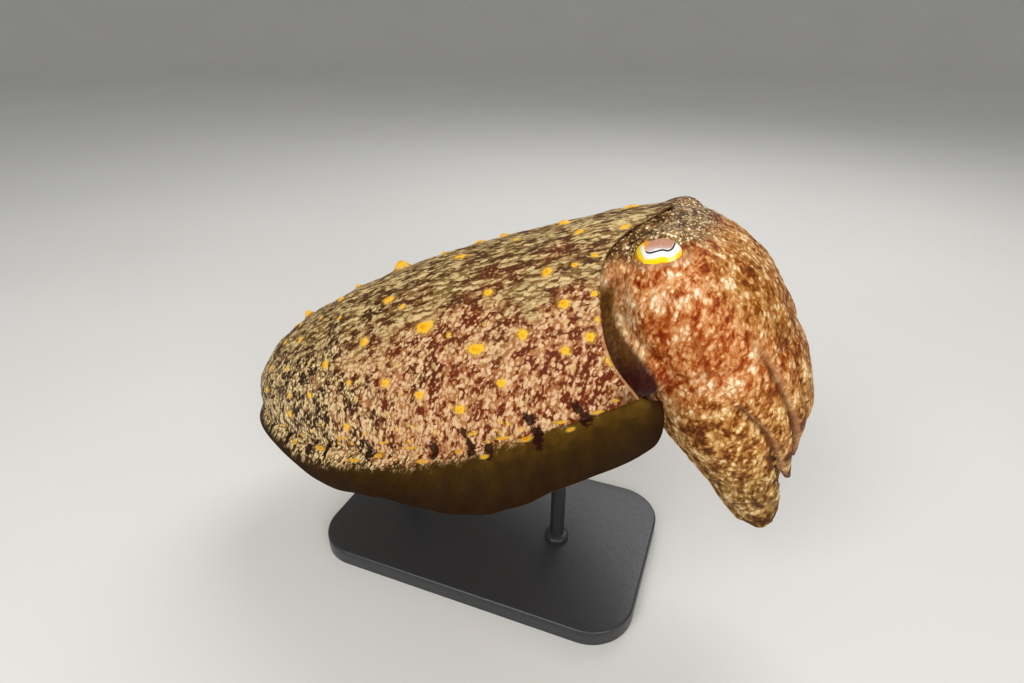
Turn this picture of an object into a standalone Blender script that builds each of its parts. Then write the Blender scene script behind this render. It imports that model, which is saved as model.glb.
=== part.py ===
# Broadclub cuttlefish, a still life-size model hovering head-up with its arms hanging, on a display stand.
# Metres, +Z up. The animal faces +X and its right side faces -Y. The origin is under the middle of the
# whole model, on the surface that the stand's base rests on.
# The animal is modelled in its own frame: x from the mantle's rear tip towards the head, y to its left,
# z towards its back. That frame is then pitched head-up and lifted onto the stand.

import math
import random

import bmesh
import bpy
import numpy as np
from mathutils import Matrix, Vector

MM = 0.001

# Pose and place of the whole animal
PITCH = math.radians(20.0)
REAR_TIP_X = -0.1859
REAR_TIP_Z = 0.085
GAP = 0.3 * MM

# Mantle
MANTLE_LENGTH = 340 * MM
MANTLE_HALF_WIDTH = 85 * MM
MANTLE_BACK_HEIGHT = 73 * MM
MANTLE_BELLY_DEPTH = 52 * MM
MANTLE_WIDEST = 0.64
MANTLE_REAR_POWER = 0.50
MANTLE_NARROWING = 0.27
BACK_HIGHEST = 0.68
BACK_REAR_POWER = 0.45
BACK_FALL = 0.02
BELLY_DEEPEST = 0.60
BELLY_REAR_POWER = 0.50
BELLY_RISE = 0.12
BELLY_SAG_SHARE = 0.5
FIN_LINE_SAG = 18 * MM
MARGIN_LOBE = 0.98
LOBE_SHARPNESS = 18
MARGIN_FLANK = 0.885
MARGIN_FIN = 0.920
MARGIN_FIN_SPREAD = 0.30
MARGIN_BELLY = 0.828
MANTLE_WALL = 5.5 * MM
MANTLE_LIP = 2.4 * MM
LIP_LENGTH = 12 * MM
RECESS_TAPER = 2.5 * MM
RECESS_FLOOR = 272 * MM
RING_BUNCHING = 1.4
MANTLE_RINGS = 20
MANTLE_SIDES = 32

# Papillae on the mantle: rows by angle from the right fin line, and shares of the mantle's length
PAPILLA_ROWS = (18, 40, 62, 84, 96, 118, 140, 162)
PAPILLAE_PER_ROW = 5
PAPILLA_FIRST = 0.12
PAPILLA_SPAN = 0.74
PAPILLA_RADIUS = 3.6 * MM
PAPILLA_HEIGHT = 2.8 * MM
PAPILLA_SINK = 2.0 * MM
PAPILLA_SIDES = 6

# Head and arm crown: level, rear x, front x, half width, all in millimetres, from the top down
CROWN_ROWS = (
    (65.5, 329.0, 331.0, 1.0),
    (64.0, 317.5, 339.5, 18.0),
    (59.5, 308.5, 347.0, 30.5),
    (51.0, 301.0, 356.0, 42.5),
    (37.0, 295.0, 367.5, 50.0),
    (20.0, 293.0, 375.0, 51.5),
    (2.0, 296.0, 379.0, 49.5),
    (-16.0, 298.5, 381.8, 46.5),
    (-33.0, 297.0, 383.2, 43.5),
    (-50.0, 300.5, 381.0, 40.0),
    (-66.0, 307.0, 374.8, 35.5),
    (-82.0, 314.0, 368.2, 30.5),
    (-98.0, 319.0, 363.0, 25.5),
    (-113.0, 322.6, 359.4, 19.5),
    (-131.0, 329.5, 354.5, 13.5),
)
CROWN_SIDES = 32
HEAD_BASE = -10.0
HEAD_RINGS = 13
HEAD_FIRST_ROW = 0.35
CROWN_SQUARENESS = 2.35

# Eyes
EYE_RADIUS = 14.0 * MM
EYE_CENTRE = (328.2 * MM, 30.5 * MM, 51.3 * MM)
EYE_AIM = (0.14, 0.86, 0.64)
EYE_OPEN_HALF_WIDTH = 11.8 * MM
EYE_OPEN_HALF_HEIGHT = 7.9 * MM
EYE_SOCKET_WALL = 1.2 * MM
EYE_TILT = math.radians(-8.0)
EYE_SIDES = 18
EYE_RINGS = 10
OPENING_SIDES = 24
OPENING_STEPS = ((0.75, 0.4), (1.0, 1.0), (1.25, 1.6))

# Arms from the front pair to the rear pair: angles from the front at levels down the crown, tip level, thickness
ARM_LEVELS = (-10, -28, -46, -64, -82, -98, -128)
ARM_EDGES = (
    (0, 0, 0, 0, 0, 0, 0),
    (28.5, 29, 26, 20, 12, 8, 4),
    (51, 48, 44, 36, 25, 16, 8),
    (88, 79, 67, 58, 47, 33, 12),
    (180, 180, 180, 180, 180, 180, 180),
)
ARM_TIPS = (-74, -82, -94, -129)
ARM_THICKNESS = (11 * MM, 11 * MM, 11 * MM, 12 * MM)
ARM_GROOVE = 2.2 * MM
ARM_TAPER = 0.62
ARM_TIP_ROUNDING = 8
ARM_INNER_SPAN = 0.86
ARM_RINGS = 13
ARM_OUTER_POINTS = 7
ARM_INNER_POINTS = 5

# Suckers
SUCKERS_PER_ROW = 7
SUCKER_ROWS = (-0.66, -0.22, 0.22, 0.66)
KEEL_SHARE = 0.30
SUCKER_RADIUS = 2.3 * MM
SUCKER_HEIGHT = 1.5 * MM
SUCKER_SINK = 1.1 * MM
SUCKER_SIDES = 5

# Neck, funnel and mouth
NECK_REAR = (64 * MM, 52 * MM, 24 * MM)
NECK_FRONT = (40 * MM, 40 * MM, 9 * MM)
NECK_END = 316 * MM
NECK_RINGS = 7
NECK_FLARE = 0.7
NECK_THROAT = (0.05, 0.45)
FUNNEL_PATH = ((275, -32.0), (281, -33.5), (287.5, -38.5), (290, -49))
FUNNEL_HALF_WIDTH = (16.0, 10.0)
FUNNEL_HALF_HEIGHT = (7.0, 5.5)
FUNNEL_TILT = (20.0, 65.0)
FUNNEL_WALL = 2.2
FUNNEL_SIDES = 20

# Fins
FIN_WIDTH = 29 * MM
FIN_ROOT_THICKNESS = 4.0 * MM
FIN_EDGE_THICKNESS = 1.2 * MM
FIN_CUTS = (0.0, 0.42, 0.72, 1.0)
FIN_REAR_SHARE = 0.28
FIN_REAR_SPAN = (0.04, 0.60)
FIN_FRONT_DROP = 0.60
FIN_FRONT_SPAN = (0.84, 0.97)
FIN_LEAN = 12 * MM
FIN_LEAN_SPAN = (0.78, 0.93)
FIN_DROOP = math.radians(38.0)
FIN_WAVES = 2.6
FIN_WAVE_HEIGHT = 5.0 * MM
FIN_STEPS = 3
FIN_NAMES = ("rear", "middle", "front")

# Stand
BASE_LENGTH = 0.230
BASE_WIDTH = 0.140
BASE_HEIGHT = 0.012
BASE_CORNER = 0.030
BASE_CORNER_STEPS = 8
ROD_RADIUS = 0.005
ROD_PLACES = (-0.070, 0.050)
ROD_TOP = 0.125
ROD_SIDES = 24

# Mouth, between the arms
MOUTH_RINGS = ((15.0, -10.3), (15.0, -15.0), (12.0, -20.0), (6.5, -22.5), (5.0, -21.5), (3.6, -25.0))
MOUTH_TIP = -28.5
MOUTH_ROW = 7
MOUTH_SIDES = 20


def ramp(x, low, high):
    # 0 below low, 1 above high, smooth between
    k = np.clip((np.asarray(x, float) - low) / (high - low), 0.0, 1.0)
    return k * k * (3.0 - 2.0 * k)


def through(px, py, x):
    # Cubic through the points, with the slope at each point taken from its neighbours
    px, py = np.asarray(px, float), np.asarray(py, float)
    slope = np.gradient(py, px)
    x = np.clip(np.asarray(x, float), px[0], px[-1])
    i = np.clip(np.searchsorted(px, x) - 1, 0, len(px) - 2)
    h = px[i + 1] - px[i]
    k = (x - px[i]) / h
    a = (1 + 2 * k) * (1 - k) ** 2
    b = k * (1 - k) ** 2
    c = k * k * (3 - 2 * k)
    d = k * k * (k - 1)
    return a * py[i] + b * h * slope[i] + c * py[i + 1] + d * h * slope[i + 1]


def swell(t, widest, power, front_drop):
    # Share of a full size along the mantle: a rounded rear end, then a slow fall towards the head
    t = np.asarray(t, float)
    rear = np.clip(1.0 - (np.clip(widest - t, 0, None) / widest) ** 2, 0.0, 1.0) ** power
    front = 1.0 - front_drop * (np.clip(t - widest, 0, None) / (1.0 - widest)) ** 2
    return rear * front


def fin_line(t):
    # Height of the widest line, where the fins grow
    return -FIN_LINE_SAG * np.sin(np.pi * np.clip(t, 0, 1))


def mantle_point(t, angle, inset=0.0):
    # angle 0 is the right fin line, a quarter turn is the middle of the back
    t, angle = np.broadcast_arrays(np.asarray(t, float), np.asarray(angle, float))
    half = MANTLE_HALF_WIDTH * swell(t, MANTLE_WIDEST, MANTLE_REAR_POWER, MANTLE_NARROWING)
    back = MANTLE_BACK_HEIGHT * swell(t, BACK_HIGHEST, BACK_REAR_POWER, BACK_FALL) - fin_line(t)
    belly = MANTLE_BELLY_DEPTH * swell(t, BELLY_DEEPEST, BELLY_REAR_POWER, BELLY_RISE)
    belly = belly + BELLY_SAG_SHARE * fin_line(t)
    half, back, belly = half - inset, back - inset, belly - inset
    s = np.sin(angle)
    z = fin_line(t) + np.where(s > 0, back, belly) * s
    return np.stack([MANTLE_LENGTH * t, -half * np.cos(angle), z], -1)


def margin(angle):
    # How far forward the mantle's edge reaches at each angle, as a share of its length
    s = np.sin(angle)
    lobe = np.clip(s, 0, 1) ** LOBE_SHARPNESS
    fin = np.exp(-((s + 0.05) / MARGIN_FIN_SPREAD) ** 2)
    side = MARGIN_FLANK + (MARGIN_BELLY - MARGIN_FLANK) * ramp(-s, 0.0, 0.8)
    return side + (MARGIN_LOBE - MARGIN_FLANK) * lobe + (MARGIN_FIN - MARGIN_FLANK) * fin


CROWN_TABLE = np.array(CROWN_ROWS)
CROWN_INDEX = np.arange(len(CROWN_ROWS), dtype=float)


def crown_row(level):
    # Row position of a height, by search along the table, which runs down
    fine = np.linspace(0, len(CROWN_ROWS) - 1, 1400)
    heights = through(CROWN_INDEX, CROWN_TABLE[:, 0], fine)
    return np.interp(-np.asarray(level, float), -heights, fine)


def crown_point(row, angle, depth=0.0):
    # angle 0 is the front, a quarter turn is the right side; depth is measured in along the normal
    row, angle = np.broadcast_arrays(np.asarray(row, float), np.asarray(angle, float))
    z, rear, front, half = (through(CROWN_INDEX, CROWN_TABLE[:, k], row) for k in range(4))
    middle = (rear + front) / 2
    length = (front - rear) / 2
    c, s = np.cos(angle), np.sin(angle)
    reach = (np.abs(c) ** CROWN_SQUARENESS + np.abs(s) ** CROWN_SQUARENESS) ** (-1 / CROWN_SQUARENESS)
    x = middle + length * reach * c
    y = -half * reach * s
    nx, ny = c / np.maximum(length, 1e-6), -s / np.maximum(half, 1e-6)
    size = np.hypot(nx, ny)
    return np.stack([x * MM - depth * nx / size, y * MM - depth * ny / size, z * MM], -1)


def loft(name, rings, start=None, end=None, thin=False):
    # Closed mesh through rings of points; an end is a middle point, or one flat face where it is None.
    # A thin form has its two faces split into triangles alike.
    rings = np.asarray(rings, float)
    count, around = rings.shape[:2]
    verts = [tuple(p) for p in rings.reshape(-1, 3)]
    faces = []
    for r in range(count - 1):
        for k in range(around):
            n = (k + 1) % around
            a, b, c, d = r * around + k, r * around + n, (r + 1) * around + n, (r + 1) * around + k
            if not thin:
                faces.append((a, b, c, d))
            elif k < around // 2:
                faces += [(a, b, c), (a, c, d)]
            else:
                faces += [(a, b, d), (b, c, d)]
    for ring, pole in ((0, start), (count - 1, end)):
        first = ring * around
        if pole is None:
            faces.append(tuple(range(first, first + around)))
            continue
        verts.append(tuple(pole))
        for k in range(around):
            faces.append((first + k, first + (k + 1) % around, len(verts) - 1))
    mesh = bpy.data.meshes.new(name)
    mesh.from_pydata(verts, [], faces)
    bm = bmesh.new()
    bm.from_mesh(mesh)
    bmesh.ops.recalc_face_normals(bm, faces=bm.faces)
    bm.to_mesh(mesh)
    bm.free()
    return mesh


def material(name, colour, roughness, metallic=0.0):
    made = bpy.data.materials.new(name)
    made.use_nodes = True
    shader = made.node_tree.nodes["Principled BSDF"]
    shader.inputs["Base Color"].default_value = (*colour, 1.0)
    shader.inputs["Roughness"].default_value = roughness
    shader.inputs["Metallic"].default_value = metallic
    return made


def add(name, mesh, where, finish=None):
    obj = bpy.data.objects.new(name, mesh)
    where.objects.link(obj)
    if finish is not None:
        obj.data.materials.append(finish)
    return obj


def hide_cutter(obj):
    obj.hide_render = True
    obj.display_type = "WIRE"
    return obj


def boolean(obj, other, operation):
    cut = obj.modifiers.new(operation.lower(), "BOOLEAN")
    cut.operation = operation
    cut.solver = "EXACT"
    cut.object = other


def bake(obj):
    # Replaces an object's mesh by its mesh after modifiers and clears the modifiers
    graph = bpy.context.evaluated_depsgraph_get()
    baked = bpy.data.meshes.new_from_object(obj.evaluated_get(graph))
    obj.modifiers.clear()
    obj.data = baked


def keep_largest(obj):
    # Keeps the connected surface with the most faces
    bm = bmesh.new()
    bm.from_mesh(obj.data)
    left = set(bm.verts)
    groups = []
    while left:
        stack = [left.pop()]
        group = set(stack)
        while stack:
            for edge in stack.pop().link_edges:
                for vert in edge.verts:
                    if vert in left:
                        left.discard(vert)
                        group.add(vert)
                        stack.append(vert)
        groups.append(group)
    groups.sort(key=len)
    for group in groups[:-1]:
        bmesh.ops.delete(bm, geom=list(group), context="VERTS")
    bm.to_mesh(obj.data)
    bm.free()


def fuse(obj, meshes, solver="MANIFOLD"):
    # One union of the object with many small closed meshes, applied at once
    small = bpy.data.collections.new(obj.name + "_forms")
    bpy.context.scene.collection.children.link(small)
    made = [add(obj.name + "_form", mesh, small) for mesh in meshes]
    union = obj.modifiers.new("forms", "BOOLEAN")
    union.operation = "UNION"
    union.solver = solver
    union.operand_type = "COLLECTION"
    union.collection = small
    bake(obj)
    for item in made:
        bpy.data.objects.remove(item)
    bpy.data.collections.remove(small)
    keep_largest(obj)


def bump(name, base, up, radii, heights, sides, turn):
    # Closed stack of rings on a surface point, along its outward direction, closed by a middle point
    up = Vector(up).normalized()
    side = up.orthogonal().normalized()
    other = up.cross(side)
    rings = []
    for radius, height in zip(radii, heights):
        ring = []
        for k in range(sides):
            angle = 2 * math.pi * k / sides + turn
            ring.append(Vector(base) + up * height + (side * math.cos(angle) + other * math.sin(angle)) * radius)
        rings.append(ring)
    return loft(name, rings, Vector(base) + up * heights[0], Vector(base) + up * heights[len(radii)])


def mantle_stations():
    return (np.arange(1, MANTLE_RINGS + 1) / MANTLE_RINGS) ** RING_BUNCHING


def mantle_mesh():
    angles = np.linspace(0, 2 * np.pi, MANTLE_SIDES, endpoint=False)
    reach = margin(angles)
    rings = [mantle_point(reach * share, angles) for share in mantle_stations()]
    for back, inset in ((0.0, MANTLE_LIP), (-LIP_LENGTH, MANTLE_WALL)):
        rings.append(mantle_point(reach + back / MANTLE_LENGTH, angles, inset))
    floor_x = RECESS_FLOOR - GAP
    rings.append(mantle_point(floor_x / MANTLE_LENGTH, angles, MANTLE_WALL + RECESS_TAPER))
    return loft("mantle", rings, (0.0, 0.0, 0.0), (floor_x, 0.0, 0.0))


def mantle_normal(t, angle):
    step = 1e-3
    along = mantle_point(t + step, angle) - mantle_point(t - step, angle)
    across = mantle_point(t, angle + step) - mantle_point(t, angle - step)
    normal = np.cross(across, along)
    normal /= np.linalg.norm(normal)
    middle = mantle_point(t, angle) - mantle_point(t, angle + np.pi)
    return normal if normal @ middle > 0 else -normal


def papilla_meshes():
    pick = random.Random(5)
    made = []
    for row, degrees in enumerate(PAPILLA_ROWS):
        for k in range(PAPILLAE_PER_ROW):
            step = (k + 0.5 * (row % 2) + pick.uniform(0.1, 0.5)) / PAPILLAE_PER_ROW
            t = PAPILLA_FIRST + PAPILLA_SPAN * step
            angle = math.radians(degrees + pick.uniform(-6, 6))
            size = pick.uniform(0.75, 1.15)
            radii = [PAPILLA_RADIUS * size, PAPILLA_RADIUS * 0.5 * size]
            heights = [-PAPILLA_SINK, PAPILLA_HEIGHT * 0.8 * size, PAPILLA_HEIGHT * size]
            base = mantle_point(t, angle)
            made.append(bump("papilla", base, mantle_normal(t, angle), radii, heights, PAPILLA_SIDES, pick.uniform(0, 6)))
    return made


def crown_mesh(name, grow=0.0):
    angles = np.linspace(0, 2 * np.pi, CROWN_SIDES, endpoint=False)
    rows = np.linspace(HEAD_FIRST_ROW, crown_row(HEAD_BASE), HEAD_RINGS)
    rings = [crown_point(row, angles, -grow) for row in rows]
    top = crown_point(0.0, 0.0)
    top[0] = np.mean(rings[0][:, 0])
    top[2] += grow
    return loft(name, rings, top)


def eye_frame(side):
    # Place and axes of one eye: x along its opening, y up across it, z outwards
    out = Vector((EYE_AIM[0], side * EYE_AIM[1], EYE_AIM[2])).normalized()
    along = Vector((1.0, 0.0, 0.0))
    along = (along - out * along.dot(out)).normalized()
    up = out.cross(along)
    if up.z < 0:
        up = -up
    along, up = (along * math.cos(EYE_TILT) + up * math.sin(EYE_TILT),
                 up * math.cos(EYE_TILT) - along * math.sin(EYE_TILT))
    place = Matrix((along, up, out)).transposed().to_4x4()
    place.translation = Vector((EYE_CENTRE[0], side * EYE_CENTRE[1], EYE_CENTRE[2]))
    return place


def ball_mesh(name, radius, place):
    bm = bmesh.new()
    bmesh.ops.create_uvsphere(bm, u_segments=EYE_SIDES, v_segments=EYE_RINGS, radius=radius)
    bmesh.ops.transform(bm, matrix=place, verts=bm.verts)
    bmesh.ops.recalc_face_normals(bm, faces=bm.faces)
    mesh = bpy.data.meshes.new(name)
    bm.to_mesh(mesh)
    bm.free()
    return mesh


def opening_mesh(name, place):
    # Flared oval cutter from the middle of the eyeball outwards
    rings = []
    for share, depth in OPENING_STEPS:
        ring = []
        for k in range(OPENING_SIDES):
            angle = 2 * math.pi * k / OPENING_SIDES
            point = Vector((EYE_OPEN_HALF_WIDTH * share * math.cos(angle),
                            EYE_OPEN_HALF_HEIGHT * share * math.sin(angle), EYE_RADIUS * depth))
            ring.append(place @ point)
        rings.append(ring)
    return loft(name, rings)


def neck_mesh():
    angles = np.linspace(0, 2 * np.pi, CROWN_SIDES, endpoint=False)
    rings = []
    for share in np.linspace(0, 1, NECK_RINGS):
        wide, up = (a + (b - a) * share ** NECK_FLARE for a, b in zip(NECK_REAR[:2], NECK_FRONT[:2]))
        down = NECK_REAR[2] + (NECK_FRONT[2] - NECK_REAR[2]) * ramp(share, *NECK_THROAT)
        s = np.sin(angles)
        x = np.full_like(s, RECESS_FLOOR + (NECK_END - RECESS_FLOOR) * share)
        rings.append(np.stack([x, -wide * np.cos(angles), np.where(s > 0, up, down) * s], -1))
    return loft("neck", rings)


def arm_section(pair, row, share, side):
    # One closed ring of an arm: its outer face, then its inner face; share runs from base 0 to tip 1
    level = through(CROWN_INDEX, CROWN_TABLE[:, 0], row)
    levels = -np.array(ARM_LEVELS, float)
    low, high = (np.radians(through(levels, ARM_EDGES[pair + k], -level)) for k in (0, 1))
    shrink = (1 - share ** ARM_TIP_ROUNDING) ** 0.5
    thick = ARM_THICKNESS[pair] * (1 - ARM_TAPER * share) * (0.35 + 0.65 * shrink)
    ends = crown_point(row, np.array([low, high]))
    width = np.linalg.norm(ends[1] - ends[0])
    middle = (low + high) / 2
    half = (high - low) / 2 * shrink - 0.5 * GAP / max(width, 1e-6) * (high - low)
    outer = np.linspace(-1, 1, ARM_OUTER_POINTS)
    inner = np.linspace(ARM_INNER_SPAN, -ARM_INNER_SPAN, ARM_INNER_POINTS)
    groove = min(ARM_GROOVE, thick * 0.3)
    loop = [crown_point(row, middle + half * outer, groove * np.abs(outer) ** 3)]
    loop.append(crown_point(row, middle + half * inner, thick * (1 - 0.12 * inner ** 2)))
    points = np.concatenate(loop)
    points[:, 1] *= -side
    return points, thick


def arm_rows(pair):
    start = crown_row(HEAD_BASE - GAP / MM)
    tip = crown_row(ARM_TIPS[pair])
    shares = np.linspace(0, 1, ARM_RINGS) ** 0.85
    return [(start + (tip - start) * share, share) for share in shares[:-1]], tip


def arm_mesh(pair, side):
    rows, tip = arm_rows(pair)
    rings = [arm_section(pair, row, share, side)[0] for row, share in rows]
    last = arm_section(pair, tip - 0.02, 0.9995, side)[0]
    return loft("arm", rings, None, last.mean(0))


def sucker_meshes(pair, side):
    pick = random.Random(10 * pair)
    rows, tip = arm_rows(pair)
    start = rows[0][0]
    made = []
    for k in range(SUCKERS_PER_ROW):
        share = (k + 0.6) / SUCKERS_PER_ROW
        for column, across in enumerate(SUCKER_ROWS):
            across = across if pair < 3 else across * (1 - KEEL_SHARE) + KEEL_SHARE
            at = min(share + (0.5 if column % 2 else 0.0) / SUCKERS_PER_ROW, 0.97)
            row = start + (tip - start) * at
            ring, thick = arm_section(pair, row, at, side)
            inner = ring[ARM_OUTER_POINTS:]
            spot = (across / ARM_INNER_SPAN + 1) / 2 * (ARM_INNER_POINTS - 1)
            i = min(int(spot), ARM_INNER_POINTS - 2)
            base = Vector(inner[i] + (inner[i + 1] - inner[i]) * (spot - i))
            out = (Vector(ring[ARM_OUTER_POINTS // 2]) - Vector(inner[ARM_INNER_POINTS // 2])) * -1
            out = out.normalized()
            width = np.linalg.norm(inner[-1] - inner[0])
            size = min(SUCKER_RADIUS * (1 - 0.55 * at), 0.125 * width) * pick.uniform(0.9, 1.08)
            high = min(SUCKER_HEIGHT * (1 - 0.4 * at), size)
            sink = min(SUCKER_SINK, 0.3 * thick)
            made.append(bump("sucker", base, out, [size * 0.8, size], [-sink, high, high * 0.55],
                             SUCKER_SIDES, pick.uniform(0, 6)))
    return made


def fin_outline(t):
    # Width of the fin along the mantle
    rear = FIN_REAR_SHARE + (1 - FIN_REAR_SHARE) * ramp(t, *FIN_REAR_SPAN)
    return FIN_WIDTH * rear * (1 - FIN_FRONT_DROP * ramp(t, *FIN_FRONT_SPAN))


def fin_ends():
    # Station numbers where each length of the fin starts and stops, counted in half steps of the mantle's rings
    count = MANTLE_RINGS - 1
    return [round(2 * count * share) for share in FIN_CUTS]


def fin_mesh(name, first, last, side):
    # The root follows the facets of the mantle's widest line
    stations = mantle_stations() * margin(0.0)
    rings = []
    for n in range(first, last + 1):
        i = min(n // 2, len(stations) - 2)
        a, b, k = stations[i], stations[i + 1], n / 2 - i
        t = a + (b - a) * k
        root = mantle_point(a, 0.0) * (1 - k) + mantle_point(b, 0.0) * k
        out = mantle_normal(t, 0.0)
        ahead = mantle_point(b, 0.0) - mantle_point(a, 0.0)
        ahead = ahead / np.linalg.norm(ahead)
        if n == first and first > 0:
            root = root + ahead * 0.5 * GAP
        if n == last:
            root = root - ahead * 0.5 * GAP
        width = fin_outline(t)
        wave = 2 * np.pi * FIN_WAVES * t
        upper, lower = [], []
        for q in range(FIN_STEPS + 1):
            share = q / FIN_STEPS
            droop = FIN_DROOP * share ** 0.5
            run = width * share
            rise = FIN_WAVE_HEIGHT * share ** 1.5 * width / FIN_WIDTH * math.sin(wave)
            lean = FIN_LEAN * share * ramp(t, *FIN_LEAN_SPAN)
            point = root + out * (GAP + run * math.cos(droop)) + np.array([lean, 0, rise - run * math.sin(droop)])
            up = np.array([0.0, 0.0, math.cos(droop)]) + out * math.sin(droop)
            half = 0.5 * (FIN_ROOT_THICKNESS + (FIN_EDGE_THICKNESS - FIN_ROOT_THICKNESS) * share ** 0.6)
            upper.append(point + up * half)
            lower.append(point - up * half)
        ring = np.array(upper + lower[::-1])
        ring[:, 1] *= -side
        rings.append(ring)
    return loft(name, rings, thin=True)


def mantle_space_mesh():
    # The mantle's outside without its recess, grown by one gap
    angles = np.linspace(0, 2 * np.pi, MANTLE_SIDES, endpoint=False)
    reach = margin(angles)
    rings = [mantle_point(reach * share, angles, -GAP) for share in mantle_stations()]
    return loft("mantle_space", rings, (-GAP, 0.0, 0.0), (RECESS_FLOOR, 0.0, 0.0))


def rod_mesh(name, x):
    rings = []
    for z in (BASE_HEIGHT + GAP, ROD_TOP):
        ring = []
        for k in range(ROD_SIDES):
            angle = 2 * math.pi * k / ROD_SIDES
            ring.append((x + ROD_RADIUS * math.cos(angle), ROD_RADIUS * math.sin(angle), z))
        rings.append(ring)
    return loft(name, rings)


def mouth_mesh(name):
    # Soft ring with the beak's tip in its middle
    angles = np.linspace(0, 2 * np.pi, MOUTH_SIDES, endpoint=False)
    middle = 0.5 * (CROWN_TABLE[MOUTH_ROW, 1] + CROWN_TABLE[MOUTH_ROW, 2])
    rings = [np.stack([(middle + radius * np.cos(angles)) * MM, radius * np.sin(angles) * MM,
                       np.full_like(angles, z) * MM], -1) for radius, z in MOUTH_RINGS]
    return loft(name, rings, None, (middle * MM, 0.0, MOUTH_TIP * MM))


def base_mesh(name):
    ring = []
    for cx, cy, start in ((1, 1, 0), (-1, 1, 90), (-1, -1, 180), (1, -1, 270)):
        for k in range(BASE_CORNER_STEPS + 1):
            angle = math.radians(start + 90 * k / BASE_CORNER_STEPS)
            ring.append((cx * (BASE_LENGTH / 2 - BASE_CORNER) + BASE_CORNER * math.cos(angle),
                         cy * (BASE_WIDTH / 2 - BASE_CORNER) + BASE_CORNER * math.sin(angle)))
    return loft(name, [[(x, y, 0.0) for x, y in ring], [(x, y, BASE_HEIGHT) for x, y in ring]])


def funnel_mesh(name):
    # Open tube with a wall, under the neck, bending down and forward; its rear end is closed
    last = len(FUNNEL_PATH) - 1
    outside = [(k, 0.0) for k in range(last + 1)]
    inside = [(k, FUNNEL_WALL) for k in range(last, 0, -1)]
    rings = []
    for k, wall in outside + inside:
        share = k / last
        x, z = FUNNEL_PATH[k]
        half, tall, tilt = (a + (b - a) * share for a, b in (FUNNEL_HALF_WIDTH, FUNNEL_HALF_HEIGHT, FUNNEL_TILT))
        lean = math.radians(tilt)
        ring = []
        for n in range(FUNNEL_SIDES):
            angle = 2 * math.pi * n / FUNNEL_SIDES
            across = (tall - wall) * math.sin(angle)
            ring.append(((x + across * math.sin(lean)) * MM, (half - wall) * math.cos(angle) * MM,
                         (z + across * math.cos(lean)) * MM))
        rings.append(ring)
    return loft(name, rings, None, np.mean(rings[-1], 0))


def main():
    for obj in list(bpy.data.objects):
        bpy.data.objects.remove(obj)
    parts = bpy.data.collections.new("broadclub_cuttlefish")
    cutters = bpy.data.collections.new("cutters")
    for group in (parts, cutters):
        bpy.context.scene.collection.children.link(group)
    skin = material("skin", (0.46, 0.27, 0.13), 0.5)
    fin_skin = material("fin_skin", (0.24, 0.18, 0.09), 0.5)
    eye_clear = material("eye", (0.75, 0.72, 0.62), 0.15)
    stand_finish = material("stand_finish", (0.05, 0.05, 0.055), 0.35)

    mantle = add("mantle", mantle_mesh(), parts, skin)
    fuse(mantle, papilla_meshes())
    head = add("head", crown_mesh("head"), parts, skin)
    for side in (-1, 1):
        name = "right" if side < 0 else "left"
        place = eye_frame(side)
        socket = hide_cutter(add("socket_" + name, ball_mesh("socket", EYE_RADIUS + EYE_SOCKET_WALL, place), cutters))
        hole = hide_cutter(add("hole_" + name, ball_mesh("hole", EYE_RADIUS + GAP, place), cutters))
        opening = hide_cutter(add("opening_" + name, opening_mesh("opening", place), cutters))
        boolean(head, socket, "UNION")
        boolean(head, hole, "DIFFERENCE")
        boolean(head, opening, "DIFFERENCE")
        add("eye_" + name, ball_mesh("eye", EYE_RADIUS, place), parts, eye_clear)
    neck = add("neck", neck_mesh(), parts, skin)
    head_space = hide_cutter(add("head_space", crown_mesh("head_space", GAP), cutters))
    boolean(neck, head_space, "DIFFERENCE")
    add("funnel", funnel_mesh("funnel"), parts, skin)
    add("mouth", mouth_mesh("mouth"), parts, skin)
    mantle_space = hide_cutter(add("mantle_space", mantle_space_mesh(), cutters))
    for pair in range(4):
        for side in (-1, 1):
            name = "arm_%d_%s" % (pair + 1, "right" if side < 0 else "left")
            arm = add(name, arm_mesh(pair, side), parts, skin)
            fuse(arm, sucker_meshes(pair, side))
    ends = fin_ends()
    for side in (-1, 1):
        for k in range(3):
            name = "fin_%s_%s" % (FIN_NAMES[k], "right" if side < 0 else "left")
            add(name, fin_mesh(name, ends[k], ends[k + 1], side), parts, fin_skin)

    pose = Matrix.Translation((REAR_TIP_X, 0.0, REAR_TIP_Z)) @ Matrix.Rotation(-PITCH, 4, "Y")
    for group in (parts, cutters):
        for obj in group.objects:
            obj.data.transform(pose)
    add("stand_base", base_mesh("stand_base"), parts, stand_finish)
    for name, x in zip(("stand_rod_rear", "stand_rod_front"), ROD_PLACES):
        rod = add(name, rod_mesh(name, x), parts, stand_finish)
        boolean(rod, mantle_space, "DIFFERENCE")


main()
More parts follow.
